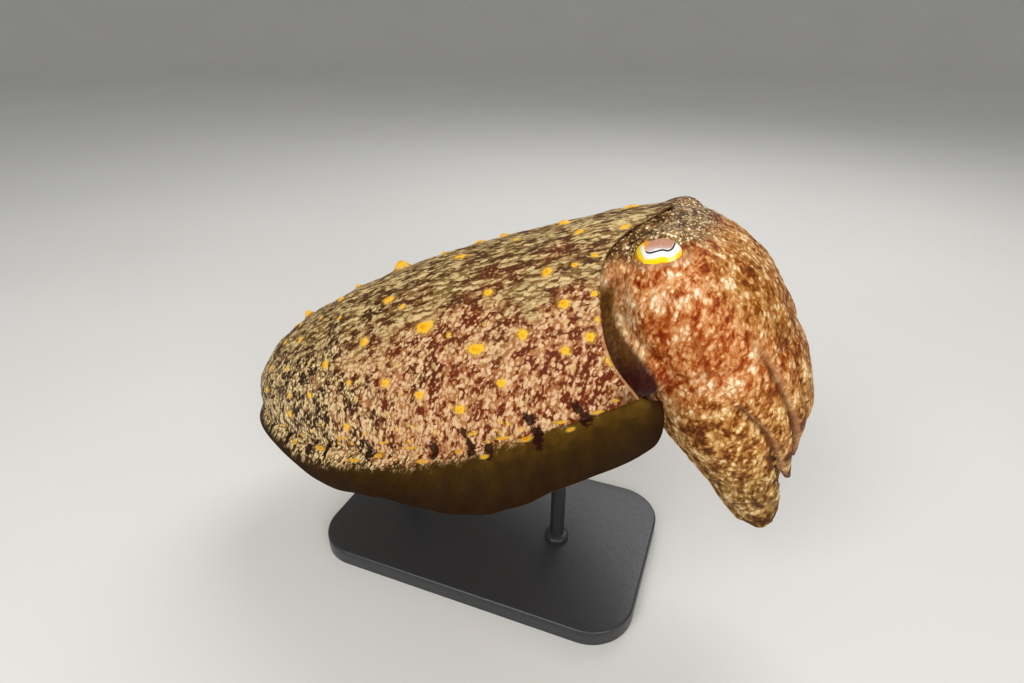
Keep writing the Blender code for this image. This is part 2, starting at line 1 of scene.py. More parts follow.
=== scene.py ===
import math
import bmesh
import bpy
import numpy as np
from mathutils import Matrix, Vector


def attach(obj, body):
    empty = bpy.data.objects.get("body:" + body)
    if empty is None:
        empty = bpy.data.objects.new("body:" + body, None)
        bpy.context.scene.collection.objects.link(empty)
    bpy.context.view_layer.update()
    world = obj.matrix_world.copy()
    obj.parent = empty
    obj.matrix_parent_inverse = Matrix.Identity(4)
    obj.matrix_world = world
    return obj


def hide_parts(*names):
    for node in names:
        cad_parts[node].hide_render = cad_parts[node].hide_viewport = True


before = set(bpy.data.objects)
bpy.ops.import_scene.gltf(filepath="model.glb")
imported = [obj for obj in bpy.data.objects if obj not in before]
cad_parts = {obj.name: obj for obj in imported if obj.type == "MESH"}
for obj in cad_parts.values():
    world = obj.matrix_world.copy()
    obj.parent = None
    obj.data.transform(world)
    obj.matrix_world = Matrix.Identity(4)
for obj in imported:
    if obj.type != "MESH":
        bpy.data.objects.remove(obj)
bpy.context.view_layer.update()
print("frame loaded:", len(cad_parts), "nodes")

mm = 0.001
pose = {"pitchDegrees": 20.0, "rearTip": (-0.1859, 0.0, 0.085)}


def ramp(x, low, high):
    # 0 below low, 1 above high, smooth between
    k = np.clip((np.asarray(x, float) - low) / (high - low), 0.0, 1.0)
    return k * k * (3.0 - 2.0 * k)


def bell(x, width):
    # 1 in the middle, falling off on both sides over the width
    return np.exp(-(np.asarray(x, float) / width) ** 2)


def through(px, py, x):
    # cubic through the points, with the slope at each point taken from its neighbours
    px, py = np.asarray(px, float), np.asarray(py, float)
    slope = np.gradient(py, px)
    x = np.clip(np.asarray(x, float), px[0], px[-1])
    i = np.clip(np.searchsorted(px, x) - 1, 0, len(px) - 2)
    h = px[i + 1] - px[i]
    k = (x - px[i]) / h
    rise = (1 + 2 * k) * (1 - k) ** 2 * py[i] + k * (1 - k) ** 2 * h * slope[i]
    return rise + k * k * (3 - 2 * k) * py[i + 1] + k * k * (k - 1) * h * slope[i + 1]


def toRow(points):
    # turns points of the animal's own frame head-up by the pitch, then lifts them onto the stand
    a = math.radians(pose["pitchDegrees"])
    x, y, z = points[..., 0], points[..., 1], points[..., 2]
    turned = np.stack([x * math.cos(a) - z * math.sin(a), y, x * math.sin(a) + z * math.cos(a)], -1)
    return turned + np.array(pose["rearTip"])


def toAnimal(points):
    # the way back from the row frame to the animal's own frame
    a = math.radians(pose["pitchDegrees"])
    p = points - np.array(pose["rearTip"])
    x, y, z = p[..., 0], p[..., 1], p[..., 2]
    return np.stack([x * math.cos(a) + z * math.sin(a), y, z * math.cos(a) - x * math.sin(a)], -1)


def softWaves(points, size, seed, count=20):
    # sum of sine waves in seeded directions, each about size long, so a smooth uneven relief of about -1 to 1
    pick = np.random.default_rng(seed)
    ways = pick.normal(size=(count, 3))
    ways /= np.linalg.norm(ways, axis=1, keepdims=True)
    ways *= 2 * math.pi / (size * pick.uniform(0.7, 1.4, (count, 1)))
    return np.sin(points @ ways.T + pick.uniform(0, 2 * math.pi, count)).sum(-1) / math.sqrt(count)


def unevenSkin(points, height, size, seed):
    return height * softWaves(points, size, seed)


def unit(v):
    return v / np.maximum(np.linalg.norm(v, axis=-1, keepdims=True), 1e-12)


def gridNormals(points):
    # cross product of the steps along a grid of rings and around it
    along = np.gradient(points, axis=0)
    across = (np.roll(points, -1, 1) - np.roll(points, 1, 1)) / 2
    return unit(np.cross(across, along))


def tubeFaces(rows, columns, startPole, endPole):
    # quads round a grid whose columns close on themselves; poles or flat ends close it
    r = np.arange(rows - 1)[:, None] * columns
    k = np.arange(columns)[None, :]
    n = (k + 1) % columns
    faces = np.stack([r + k, r + n, r + columns + n, r + columns + k], -1).reshape(-1, 4).tolist()
    extra = rows * columns
    for pole, first in ((startPole, 0), (endPole, (rows - 1) * columns)):
        if pole:
            faces += [(first + a, first + (a + 1) % columns, extra) for a in range(columns)]
            extra += 1
        else:
            faces.append(tuple(range(first, first + columns)))
    return faces


def makePiece(name, points, faces, marks=None):
    # mesh from points in the animal's frame, with its faces turned outwards and its marks as vector attributes
    mesh = bpy.data.meshes.new(name)
    mesh.from_pydata(toRow(points).tolist(), [], faces)
    bm = bmesh.new()
    bm.from_mesh(mesh)
    bmesh.ops.recalc_face_normals(bm, faces=bm.faces)
    bm.to_mesh(mesh)
    bm.free()
    setMarks(mesh, marks or {})
    return linkPiece(name, mesh)


def linkPiece(name, mesh):
    mesh.polygons.foreach_set("use_smooth", [True] * len(mesh.polygons))
    piece = bpy.data.objects.new(name, mesh)
    bpy.context.scene.collection.objects.link(piece)
    return piece


def setMarks(mesh, marks):
    for label, values in marks.items():
        layer = mesh.attributes.new(label, "FLOAT_VECTOR", "POINT")
        layer.data.foreach_set("vector", np.asarray(values, np.float32).ravel())


def tube(name, grid, startPole=None, endPole=None, marks=None):
    # closed piece from a grid of rings and its end points
    rows, columns = grid.shape[:2]
    points = [grid.reshape(-1, 3)]
    points += [np.asarray(p, float).reshape(1, 3) for p in (startPole, endPole) if p is not None]
    full = {}
    for label, values in (marks or {}).items():
        ends = [values[i].mean(0, keepdims=True) for p, i in ((startPole, 0), (endPole, -1)) if p is not None]
        full[label] = np.concatenate([values.reshape(-1, 3)] + ends)
    faces = tubeFaces(rows, columns, startPole is not None, endPole is not None)
    return makePiece(name, np.concatenate(points), faces, full)


# Camera
view = {"place": (0.1396, -0.3165, 0.3495), "ahead": (-0.3233, 0.8198, -0.4727), "lens": 21.45}
camera = bpy.data.objects.new("camera", bpy.data.cameras.new("camera"))
bpy.context.scene.collection.objects.link(camera)
bpy.context.scene.camera = camera
camera.data.lens = view["lens"]
camera.data.clip_start = 0.01
camera.location = view["place"]
camera.rotation_mode = "QUATERNION"
camera.rotation_quaternion = Vector(view["ahead"]).to_track_quat("-Z", "Y")
print("camera placed")

# Mantle
mantle = {
    "length": 340 * mm, "halfWidth": 85 * mm, "backHeight": 73 * mm, "bellyDepth": 52 * mm,
    "widest": 0.64, "rearPower": 0.50, "narrowing": 0.27,
    "backHighest": 0.68, "backRearPower": 0.45, "backFall": 0.02,
    "bellyDeepest": 0.60, "bellyRearPower": 0.50, "bellyRise": 0.12, "bellySagShare": 0.5,
    "finLineSag": 18 * mm, "lobe": 0.98, "lobeSharpness": 18,
    "marginFlank": 0.885, "marginFin": 0.920, "marginFinSpread": 0.30, "marginBelly": 0.828,
    "lip": 1.3 * mm, "wall": 4.6 * mm, "recessFloor": 272 * mm, "recessInset": 8 * mm,
    "rows": 232, "columns": 324, "lipRows": 6, "wallRows": 10,
    # height, size and seed of the uneven skin, and how little of it is left at the free edge
    "swell": (0.45 * mm, 26 * mm, 3), "grain": (0.16 * mm, 6 * mm, 4), "calmFrom": 0.9, "edgeRelief": 0.3,
    "droop": 1.6 * mm, "droopFrom": 0.93, "napeFrom": (0.5, 0.95),
}
tangentStep = 1e-3       # step in share or angle for the slopes of the mantle's surface


def swell(t, widest, power, frontDrop):
    # share of a full size along the mantle: a rounded rear end, then a slow fall towards the head
    rear = np.clip(1.0 - (np.clip(widest - t, 0, None) / widest) ** 2, 0.0, 1.0) ** power
    return rear * (1.0 - frontDrop * (np.clip(t - widest, 0, None) / (1.0 - widest)) ** 2)


def finLine(t):
    # height of the widest line, where the fins grow: one shallow sine sag
    return -mantle["finLineSag"] * np.sin(np.pi * np.clip(t, 0, 1))


def mantleSurface(t, angle, inset=0.0):
    # at share t of the length, a half ellipse for the back and another for the belly, both as wide as the
    # swell says; angle 0 is the right fin line and a quarter turn is the middle of the back
    m = mantle
    t, angle = np.broadcast_arrays(np.asarray(t, float), np.asarray(angle, float))
    half = m["halfWidth"] * swell(t, m["widest"], m["rearPower"], m["narrowing"]) - inset
    back = m["backHeight"] * swell(t, m["backHighest"], m["backRearPower"], m["backFall"]) - finLine(t) - inset
    belly = m["bellyDepth"] * swell(t, m["bellyDeepest"], m["bellyRearPower"], m["bellyRise"])
    belly = belly + m["bellySagShare"] * finLine(t) - inset
    s = np.sin(angle)
    return np.stack([m["length"] * t, -half * np.cos(angle), finLine(t) + np.where(s > 0, back, belly) * s], -1)


def mantleMargin(angle):
    # how far forward the mantle's free edge reaches at each angle, as a share of its length
    s = np.sin(angle)
    side = mantle["marginFlank"] + (mantle["marginBelly"] - mantle["marginFlank"]) * ramp(-s, 0.0, 0.8)
    lobe = (mantle["lobe"] - mantle["marginFlank"]) * np.clip(s, 0, 1) ** mantle["lobeSharpness"]
    return side + lobe + (mantle["marginFin"] - mantle["marginFlank"]) * bell(s + 0.05, mantle["marginFinSpread"])


def surfaceFrame(t, angle):
    # point, tangent along the body, tangent round it and outward normal at one place of the mantle
    step = tangentStep
    point = mantleSurface(t, angle)
    along = unit(mantleSurface(t + step, angle) - mantleSurface(t - step, angle))
    across = unit(mantleSurface(t, angle + step) - mantleSurface(t, angle - step))
    out = unit(np.cross(across, along))
    out = out if out @ (point - mantleSurface(t, angle + np.pi)) > 0 else -out
    return point, along, across, out


# Papillae: share of the length, degrees from the right fin line, half length, half width and height in mm
papillae = {
    "placed": (
        (0.59, 47, 5.5, 3.0, 1.6), (0.69, 35, 4.6, 2.6, 1.6), (0.77, 36, 2.6, 2.6, 1.3), (0.804, 58, 2.6, 2.8, 1.6),
        (0.506, 29, 3.0, 2.2, 1.4), (0.892, 19, 2.6, 2.8, 1.2), (0.45, 96, 5.2, 4.6, 5.0), (0.834, 43, 2.6, 2.3, 1.3),
        (0.646, 16, 3.0, 2.2, 1.2), (0.576, 23, 3.0, 2.0, 1.2), (0.494, 64, 4.0, 2.2, 1.7), (0.868, 29, 2.2, 2.4, 1.1),
        (0.726, 22, 2.4, 2.0, 1.1), (0.622, 80, 4.5, 2.2, 1.8), (0.394, 13, 2.0, 2.0, 1.1), (0.356, 40, 2.7, 2.4, 1.5),
        (0.83, 27, 2.1, 2.1, 1.0), (0.912, 95, 5.0, 2.2, 1.3), (0.672, 99, 4.0, 2.6, 2.2), (0.218, 16, 2.6, 2.2, 1.2),
        (0.328, 80, 2.6, 2.4, 2.4), (0.92, 24, 2.4, 1.6, 1.0), (0.224, 42, 2.0, 1.9, 1.2), (0.302, 27, 2.0, 1.9, 1.2),
        (0.882, 34, 1.6, 1.7, 0.8), (0.916, 74, 2.6, 1.6, 1.0), (0.848, 58, 1.7, 1.6, 0.9), (0.878, 44, 1.5, 1.6, 0.8),
        (0.876, 61, 1.6, 1.6, 0.9), (0.234, 27, 1.7, 1.9, 1.0), (0.20, 88, 3.2, 3.0, 4.6), (0.416, 31, 1.8, 1.8, 0.9),
        (0.64, 42, 1.5, 1.5, 0.8), (0.368, 63, 1.6, 1.6, 1.0), (0.80, 92, 3.6, 2.6, 2.2), (0.56, 92, 2.4, 2.2, 1.6),
    ),
    "scattered": 130, "seed": 11, "rows": (12, 172), "span": (0.10, 0.90), "apart": 15 * mm,
    "halfLength": (1.3, 3.0), "heightShare": 0.55, "bend": 0.05,
}
# Small flat spots along the fins: share of the length, degrees
papillae["placed"] += tuple((t, degrees, 1.2, 1.05, 0.25) for t, degrees in (
    (0.286, 9), (0.326, 13), (0.352, 4.5), (0.391, 5.5), (0.431, 10), (0.46, 3), (0.481, 7), (0.51, 11.5), (0.53, 6.8),
    (0.544, 12), (0.59, 9.5), (0.662, 7.2), (0.679, 2.8), (0.701, 7), (0.712, 9.4), (0.723, 8.2), (0.741, 5)))
# Dashes above the fins: share of the length, degrees, half length in mm; on the fins: share, mm out, half length
dashes = {
    "placed": ((0.10, 8, 3.0), (0.17, 6, 3.4), (0.245, 5, 2.6), (0.365, 7.6, 5.6), (0.529, 4, 7.0), (0.61, 1.5, 4.6),
               (0.705, 3.6, 5.8), (0.80, 3.8, 3.8), (0.857, 3.0, 3.2), (0.885, 5.0, 1.8), (0.47, 6.4, 2.6),
               (0.655, 7.0, 2.2)),
    "onFins": ((0.22, 3.0, 2.6), (0.30, 1.8, 4.4), (0.40, 5.0, 4.6), (0.455, 1.6, 3.0), (0.555, 4.4, 4.4),
               (0.625, 1.0, 2.4), (0.675, 5.2, 2.6), (0.745, 1.4, 3.4), (0.815, 2.6, 2.2)),
    "halfWidth": 0.9, "height": 0.5, "seed": 4,
}
# Dark blotches over the border: share of the length, degrees, half length and half width in mm
blotches = {
    "placed": ((0.055, 6, 1.4, 3.4), (0.125, 1, 1.5, 3.4), (0.195, 1, 2.2, 3.6), (0.27, 0, 3.2, 2.6),
               (0.32, 1, 1.6, 4.2), (0.43, 3, 3.0, 4.2), (0.577, 3, 2.8, 4.6), (0.648, 3, 2.4, 4.0),
               (0.682, 1, 2.6, 2.6), (0.764, 2, 3.2, 4.2), (0.757, 8, 3.0, 3.0), (0.83, 7, 2.4, 3.0),
               (0.839, 3, 3.2, 2.8), (0.642, 8, 1.8, 3.0)),
    "seed": 9,
}
stampReach = 4.0         # a mark's distance is kept up to this many of its own half lengths


def papillaList():
    # the placed ones, the same on the left side a little shifted, and scattered ones kept apart from them
    pick = np.random.default_rng(papillae["seed"])
    found = list(papillae["placed"])
    for t, degrees, *size in papillae["placed"]:
        if degrees < 84:
            found.append((t + pick.uniform(-0.02, 0.02), 180 - degrees + pick.uniform(-4, 4), *size))
    places = [surfaceFrame(t, math.radians(d))[0] for t, d, *_ in found]
    for _ in range(papillae["scattered"] * 6):
        if len(found) >= papillae["scattered"]:
            break
        t = pick.uniform(*papillae["span"])
        degrees = pick.uniform(*papillae["rows"])
        place = surfaceFrame(t, math.radians(degrees))[0]
        if min(np.linalg.norm(place - p) for p in places) > papillae["apart"]:
            length = pick.uniform(*papillae["halfLength"])
            width = length * pick.uniform(0.7, 1.0)
            found.append((t, degrees, length, width, width * papillae["heightShare"]))
            places.append(place)
    return found


def bothSides(placed, seed):
    # the placed marks on the right side, and the same a little shifted on the left
    pick = np.random.default_rng(seed)
    left = [(t + pick.uniform(-0.02, 0.02), 180 - degrees + pick.uniform(-2, 2), *size)
            for t, degrees, *size in placed]
    return list(placed) + left


def dashList():
    d = dashes
    marks = [(t, degrees, length, d["halfWidth"], d["height"]) for t, degrees, length in d["placed"]]
    return bothSides(marks, d["seed"])


def blotchList():
    return bothSides([mark + (0.0,) for mark in blotches["placed"]], blotches["seed"])


def mantleStations(count):
    # shares of the length whose steps are equal along the flank's curve
    fine = np.linspace(0, 1, 4000) ** 2
    line = mantleSurface(fine, math.radians(40))
    run = np.concatenate([[0], np.cumsum(np.linalg.norm(np.diff(line, axis=0), axis=1))])
    return np.interp(np.linspace(0, run[-1], count + 1)[1:], run, fine)


def stamp(points, spots, relief, bend):
    # each spot is a soft bump on an ellipse in its own tangent plane; the second result is the distance from the
    # nearest spot's middle, in that spot's own half lengths, so that the finish can draw a crisp edge
    nearest = np.full(points.shape[:2], stampReach)
    for t, degrees, length, width, height in spots:
        point, along, across, _ = surfaceFrame(t, math.radians(degrees))
        near = np.nonzero(((points - point) ** 2).sum(-1) < (stampReach * max(length, width) * mm) ** 2)
        a = (points[near] - point) @ along / (length * mm)
        b = (points[near] - point) @ across / (width * mm)
        b = b - bend * length * a ** 2 * np.sign(90 - degrees)
        d = np.hypot(a, b)
        relief[near] = np.maximum(relief[near], height * mm * np.clip(1 - (d / 1.35) ** 2, 0, 1) ** 1.6)
        nearest[near] = np.minimum(nearest[near], d)
    return relief, nearest


def buildMantle():
    m = mantle
    angles = np.linspace(0, 2 * np.pi, m["columns"], endpoint=False)
    reach = mantleMargin(angles)
    shares = mantleStations(m["rows"])[:, None]
    end = reach - 0.5 * m["lip"] / m["length"]
    t = shares * end
    outer = mantleSurface(t, angles)
    out = gridNormals(outer)
    middle = outer.mean(1, keepdims=True)
    out *= np.sign((out * (outer - middle)).sum(-1).mean())
    zero = np.zeros(t.shape)
    bumpRelief, papilla = stamp(outer, papillaList(), zero.copy(), papillae["bend"])
    dashRelief, dash = stamp(outer, dashList(), zero.copy(), 0.0)
    blotch = stamp(outer, blotchList(), zero.copy(), 0.0)[1]
    calm = m["edgeRelief"] + (1 - m["edgeRelief"]) * (1 - ramp(t, m["calmFrom"] * end, end))
    relief = unevenSkin(outer, *m["swell"]) + unevenSkin(outer, *m["grain"])
    # over the nape the edge droops on to the head
    droop = m["droop"] * ramp(np.sin(angles), *m["napeFrom"])[None, :]
    fall = droop * ramp(t / end, m["droopFrom"], 1.0)
    outer = outer + out * (relief * calm + bumpRelief + dashRelief - fall)[..., None]
    # the lip turns over in a half circle, then the wall runs back to the recess floor
    turn = np.linspace(0, np.pi, m["lipRows"] + 2)[1:, None]
    half = 0.5 * m["lip"]
    lip = mantleSurface(end + half * np.sin(turn) / m["length"], angles, droop + half * (1 - np.cos(turn)))
    k = np.linspace(0, 1, m["wallRows"] + 1)[1:, None]
    floorShare = m["recessFloor"] / m["length"]
    deep = m["lip"] + (m["wall"] - m["lip"]) * ramp(k, 0, 0.3) + (m["recessInset"] - m["wall"]) * k
    wall = mantleSurface(end + (floorShare - end) * k, angles, deep + droop * (1 - ramp(k, 0.0, 0.5)))
    grid = np.concatenate([outer, lip, wall])
    sines = np.broadcast_to(np.sin(angles), grid.shape[:2])
    place = np.zeros(grid.shape)
    place[: len(t), :, 0] = t / end
    place[len(t):, :, 0] = 1.0
    place[..., 1] = sines
    place[len(t) + 1:, :, 2] = 1.0
    marks = np.ones(grid.shape)
    marks[: len(t)] = np.clip(np.stack([papilla, dash, blotch], -1) / stampReach, 0, 1)
    return tube("mantleSkin", grid, (0, 0, 0), (m["recessFloor"], 0, 0), {"place": place, "marks": marks})


mantleSkin = buildMantle()
print("mantle skin:", len(mantleSkin.data.polygons), "faces")

# Fins
fins = {
    "width": 29 * mm, "root": 4.0 * mm, "edge": 1.2 * mm, "rearShare": 0.28, "rearSpan": (0.04, 0.60),
    "frontDrop": 0.60, "frontSpan": (0.84, 0.97), "droopDegrees": 38.0, "waves": 2.6, "waveHeight": 5.0 * mm,
    "lean": 9.5 * mm, "leanSpan": (0.78, 0.93),
    "gap": 0.3 * mm, "span": (0.0125, 0.919), "endRounding": 0.022, "rows": 380, "columns": 26,
    "rootDepth": 3.0 * mm, "fillet": 1.8 * mm, "filletRun": 2.2 * mm, "ruffle": 0.35 * mm, "ruffles": 13,
    "rimThinning": 0.55, "rimSpan": (0.93, 1.0),
}


def finOutline(t):
    # width of the fin along the mantle, rounded off at both of its ends
    rear = fins["rearShare"] + (1 - fins["rearShare"]) * ramp(t, *fins["rearSpan"])
    start, stop = fins["span"]
    fromEnd = np.clip(np.minimum(t - start, stop - t) / fins["endRounding"], 0, 1)
    ends = np.sqrt(np.clip(1 - (1 - fromEnd) ** 2, 0, 1))
    return fins["width"] * rear * (1 - fins["frontDrop"] * ramp(t, *fins["frontSpan"])) * ends


def buildFin(side):
    f = fins
    t = np.linspace(f["span"][0], f["span"][1], f["rows"])
    root = mantleSurface(t, 0.0)
    step = tangentStep
    along = unit(mantleSurface(t + step, 0.0) - mantleSurface(t - step, 0.0))
    across = unit(mantleSurface(t, step) - mantleSurface(t, -step))
    out = unit(np.cross(across, along))
    out = out * np.sign(-out[:, 1:2])
    width = finOutline(t)[:, None]
    share = np.linspace(0, 1, f["columns"])[None, :]
    run = width * share
    droop = math.radians(f["droopDegrees"]) * share ** 0.5
    size = width / f["width"]
    wave = np.sin(2 * np.pi * f["waves"] * t)[:, None] * f["waveHeight"] * share ** 1.5
    ruffle = np.sin(2 * np.pi * f["ruffles"] * t + 1.5 * np.sin(9 * t))[:, None] * f["ruffle"] * share ** 3
    rise = (wave + ruffle) * size
    reachOut = f["gap"] + run * np.cos(droop) - f["rootDepth"] * (share == 0)
    line = root[:, None] + out[:, None] * reachOut[..., None]
    lean = f["lean"] * share * ramp(t, *f["leanSpan"])[:, None]
    line = line + np.stack([lean, 0 * rise, rise - run * np.sin(droop)], -1)
    up = np.stack([0 * rise, 0 * rise, np.cos(droop) + 0 * rise], -1) + out[:, None] * np.sin(droop)[..., None]
    half = 0.5 * (f["root"] + (f["edge"] - f["root"]) * share ** 0.6) + f["fillet"] * np.exp(-run / f["filletRun"])
    half = half * (1 - f["rimThinning"] * ramp(share, *f["rimSpan"]))
    upper, lower = line + up * half[..., None], line - up * half[..., None]
    grid = np.concatenate([upper, lower[:, ::-1]], 1)
    grid[..., 1] *= -side
    shares = np.broadcast_to(share, rise.shape)
    place = np.stack([np.broadcast_to(t[:, None], rise.shape), shares, np.ones(rise.shape)], -1)
    under = place * np.array([1.0, 1.0, 0.0])
    place = np.concatenate([place, under[:, ::-1]], 1)
    blotch = stamp(grid, blotchList(), np.zeros(grid.shape[:2]), 0.0)[1]
    dash = np.full(run.shape, stampReach)
    for dashShare, dashOut, length in dashes["onFins"]:
        ahead = (t[:, None] - dashShare) * mantle["length"] / (length * mm)
        dash = np.minimum(dash, np.hypot(ahead, (run - dashOut * mm) / (dashes["halfWidth"] * mm)))
    runs, dash = (np.concatenate([part, part[:, ::-1]], 1) for part in (run / f["width"], dash))
    marks = np.stack([np.clip(blotch / stampReach, 0, 1), runs, np.clip(dash / stampReach, 0, 1)], -1)
    name = "finRight" if side < 0 else "finLeft"
    return tube(name, grid, None, None, {"place": place, "marks": marks})


finPieces = {side: buildFin(side) for side in (-1, 1)}
print("fins made")

# Head and arms
crown = {
    # level, rear x, front x, half width, from the top down, in mm
    "rows": np.array((
        (65.5, 329.0, 331.0, 1.0), (64.0, 317.5, 339.5, 18.0), (59.5, 308.5, 347.0, 30.5), (51.0, 301.0, 356.0, 42.5),
        (37.0, 295.0, 367.5, 50.0), (20.0, 293.0, 375.0, 51.5), (2.0, 296.0, 379.0, 49.5), (-16.0, 298.5, 381.8, 46.5),
        (-33.0, 297.0, 383.2, 43.5), (-50.0, 300.5, 381.0, 40.0), (-66.0, 307.0, 374.8, 35.5),
        (-82.0, 314.0, 368.2, 30.5), (-98.0, 319.0, 363.0, 25.5), (-113.0, 322.6, 359.4, 19.5),
        (-131.0, 329.5, 354.5, 13.5))),
    "squareness": 2.35, "firstRow": 0.06, "bottom": -11.5, "tuckStart": -3.0, "tuck": 4.0 * mm,
    "gridRows": 150, "gridColumns": 260, "topRise": 0.1 * mm, "voxel": 1.33 * mm,
}
crownIndex = np.arange(len(crown["rows"]), dtype=float)
eyeShape = {
    "radius": 14.0 * mm, "centre": (328.2 * mm, 30.5 * mm, 51.3 * mm), "aim": (0.14, 0.86, 0.64),
    "openHalfWidth": 11.1 * mm, "openHalfHeight": (5.9 * mm, 6.5 * mm), "openShift": (-0.9 * mm, -0.2 * mm),
    "socketWall": 1.2 * mm, "tiltDegrees": -8.0, "fillet": 3.0 * mm, "pushFade": (24 * mm, 34 * mm),
    "farRatio": 9.0, "facingFade": (0.0, 0.30),
}
arms = {
    "levels": (-10, -28, -46, -64, -82, -98, -128),
    "edges": ((0, 0, 0, 0, 0, 0, 0), (28.5, 29, 26, 20, 12, 8, 4), (51, 48, 44, 36, 25, 16, 8),
              (88, 79, 67, 58, 47, 33, 12), (180, 180, 180, 180, 180, 180, 180)),
    "tips": (-74, -82, -94, -129), "thickness": (11 * mm, 11 * mm, 11 * mm, 12 * mm),
    "groove": 2.6 * mm, "taper": 0.62, "tipRounding": 8, "innerSpan": 0.86,
    "start": 4.0, "base": -10.3, "tuck": 1.6 * mm, "overlap": 1.0 * mm, "parting": 0.6 * mm, "partingLevels": (38, 70),
    "rows": 130, "outerPoints": 34, "innerPoints": 20, "seam": (-8 * mm, 7 * mm),
}
neck = {
    "rear": (64 * mm, 52 * mm, 24 * mm), "front": (38 * mm, 38 * mm, 14 * mm), "start": 269 * mm,
    "end": 346 * mm, "narrow": (274 * mm, 297 * mm), "rows": 76, "columns": 240,
    "flankInset": (8.6 * mm, 24 * mm), "flankDive": (276 * mm, 300 * mm), "collarFrom": (-0.80, -0.45),
    "napeFrom": (0.62, 0.84), "napeInset": (2.4 * mm, 5.4 * mm), "napeRun": 12 * mm, "napeDive": 17 * mm,
    "napeDepth": 10 * mm, "droopRun": 8 * mm,
}


def crownRow(level):
    # row position of a height, found along the table, which runs down
    fine = np.linspace(0, len(crown["rows"]) - 1, 1400)
    return np.interp(-np.asarray(level, float), -through(crownIndex, crown["rows"][:, 0], fine), fine)


def crownSizes(row):
    # level, middle, half length and half width of the crown at a row position, in mm
    z, rear, front, half = (through(crownIndex, crown["rows"][:, k], row) for k in range(4))
    return z, (rear + front) / 2, (front - rear) / 2, half


def crownSurface(row, angle, depth=0.0):
    # a superellipse at each level; angle 0 is the front and a quarter turn the right side, depth goes inwards
    row, angle = np.broadcast_arrays(np.asarray(row, float), np.asarray(angle, float))
    z, middle, length, half = crownSizes(row)
    c, s = np.cos(angle), np.sin(angle)
    n = crown["squareness"]
    reach = (np.abs(c) ** n + np.abs(s) ** n) ** (-1 / n)
    out = unit(np.stack([c / np.maximum(length, 1e-6), -s / np.maximum(half, 1e-6), 0 * c], -1))
    place = np.stack([middle + length * reach * c, -half * reach * s, z], -1) * mm
    return place - out * np.broadcast_to(depth, row.shape)[..., None]


def eyeAxes(side):
    # centre and axes of one eye: along its opening, up across it, and outwards
    out = unit(np.array([eyeShape["aim"][0], side * eyeShape["aim"][1], eyeShape["aim"][2]]))
    along = unit(np.array([1.0, 0.0, 0.0]) - out * out[0])
    up = np.cross(out, along)
    up = up * np.sign(up[2])
    tilt = math.radians(eyeShape["tiltDegrees"])
    along, up = along * math.cos(tilt) + up * math.sin(tilt), up * math.cos(tilt) - along * math.sin(tilt)
    centre = np.array([eyeShape["centre"][0], side * eyeShape["centre"][1], eyeShape["centre"][2]])
    return centre, along, up, out


def smoothMax(a, b, k):
    # the larger of the two, rounded over where they are less than about k apart
    return 0.5 * (a + b + np.sqrt((a - b) ** 2 + k * k))


def buildHeadForm():
    # crown surface from the top to just under the arms' roots, pushed out round the two eyeballs
    start, end = crown["firstRow"], float(crownRow(crown["bottom"]))
    rows = (start + (end - start) * np.linspace(0, 1, crown["gridRows"]) ** 1.5)[:, None]
    angles = np.linspace(0, 2 * np.pi, crown["gridColumns"], endpoint=False)
    level = crownSizes(rows)[0]
    tuck = crown["tuck"] * ramp(-level, -crown["tuckStart"], -crown["bottom"])
    grid = crownSurface(rows, angles, tuck)
    for side in (-1, 1):
        centre = eyeAxes(side)[0]
        away = grid - centre
        far = np.linalg.norm(away, axis=-1, keepdims=True)
        outer = smoothMax(far, eyeShape["radius"] + eyeShape["socketWall"], eyeShape["fillet"])
        near = 1 - ramp(far, *eyeShape["pushFade"])
        grid = centre + away / far * (far + (outer - far) * near)
    top = grid[0].mean(0)
    top[2] += crown["topRise"]
    return tube("headForm", grid, top, grid[-1].mean(0))


def armEdges(pair, level):
    # angles of the lines between one arm and its neighbours at each level, in radians
    return [np.radians(through(-np.array(arms["levels"], float), arms["edges"][pair + k], -level)) for k in (0, 1)]


def armRings(pair, rows, side):
    # each ring goes over the arm's outer face, which lies on the crown, and back over its inner face
    a = arms
    level = crownSizes(rows)[0]
    start, tip = float(crownRow(a["base"])), float(crownRow(a["tips"][pair]))
    share = np.clip((rows - start) / (tip - start), 0, 0.9995)
    low, high = armEdges(pair, level)
    shrink = np.sqrt(1 - share ** a["tipRounding"])
    thick = a["thickness"][pair] * (1 - a["taper"] * share) * (0.35 + 0.65 * shrink)
    width = np.linalg.norm(crownSurface(rows, high) - crownSurface(rows, low), axis=-1)
    parting = -a["overlap"] + (a["overlap"] + a["parting"]) * ramp(-level, *a["partingLevels"])
    half = (high - low) / 2 * shrink - parting / np.maximum(width, mm) * (high - low)
    middle = ((low + high) / 2)[:, None]
    outer = np.linspace(-1, 1, a["outerPoints"])[None, :]
    inner = np.linspace(a["innerSpan"], -a["innerSpan"], a["innerPoints"])[None, :]
    groove = (np.minimum(a["groove"], thick * 0.35) * ramp(-level, 8, 34))[:, None]
    tuck = (a["tuck"] * (1 - ramp(-level, 4, 13)))[:, None]
    outside = crownSurface(rows[:, None], middle + half[:, None] * outer, groove * np.abs(outer) ** 4 + tuck)
    inside = crownSurface(rows[:, None], middle + half[:, None] * inner, thick[:, None] * (1 - 0.14 * inner ** 2))
    grid = np.concatenate([outside, inside], 1)
    grid[..., 1] *= -side
    return grid


def buildArmForm(pair, side):
    start, tip = float(crownRow(arms["start"])), float(crownRow(arms["tips"][pair]))
    rows = start + (tip - start) * np.linspace(0, 1, arms["rows"]) ** 0.8
    grid = armRings(pair, rows, side)
    return tube("armForm", grid, grid[0].mean(0), grid[-1].mean(0))


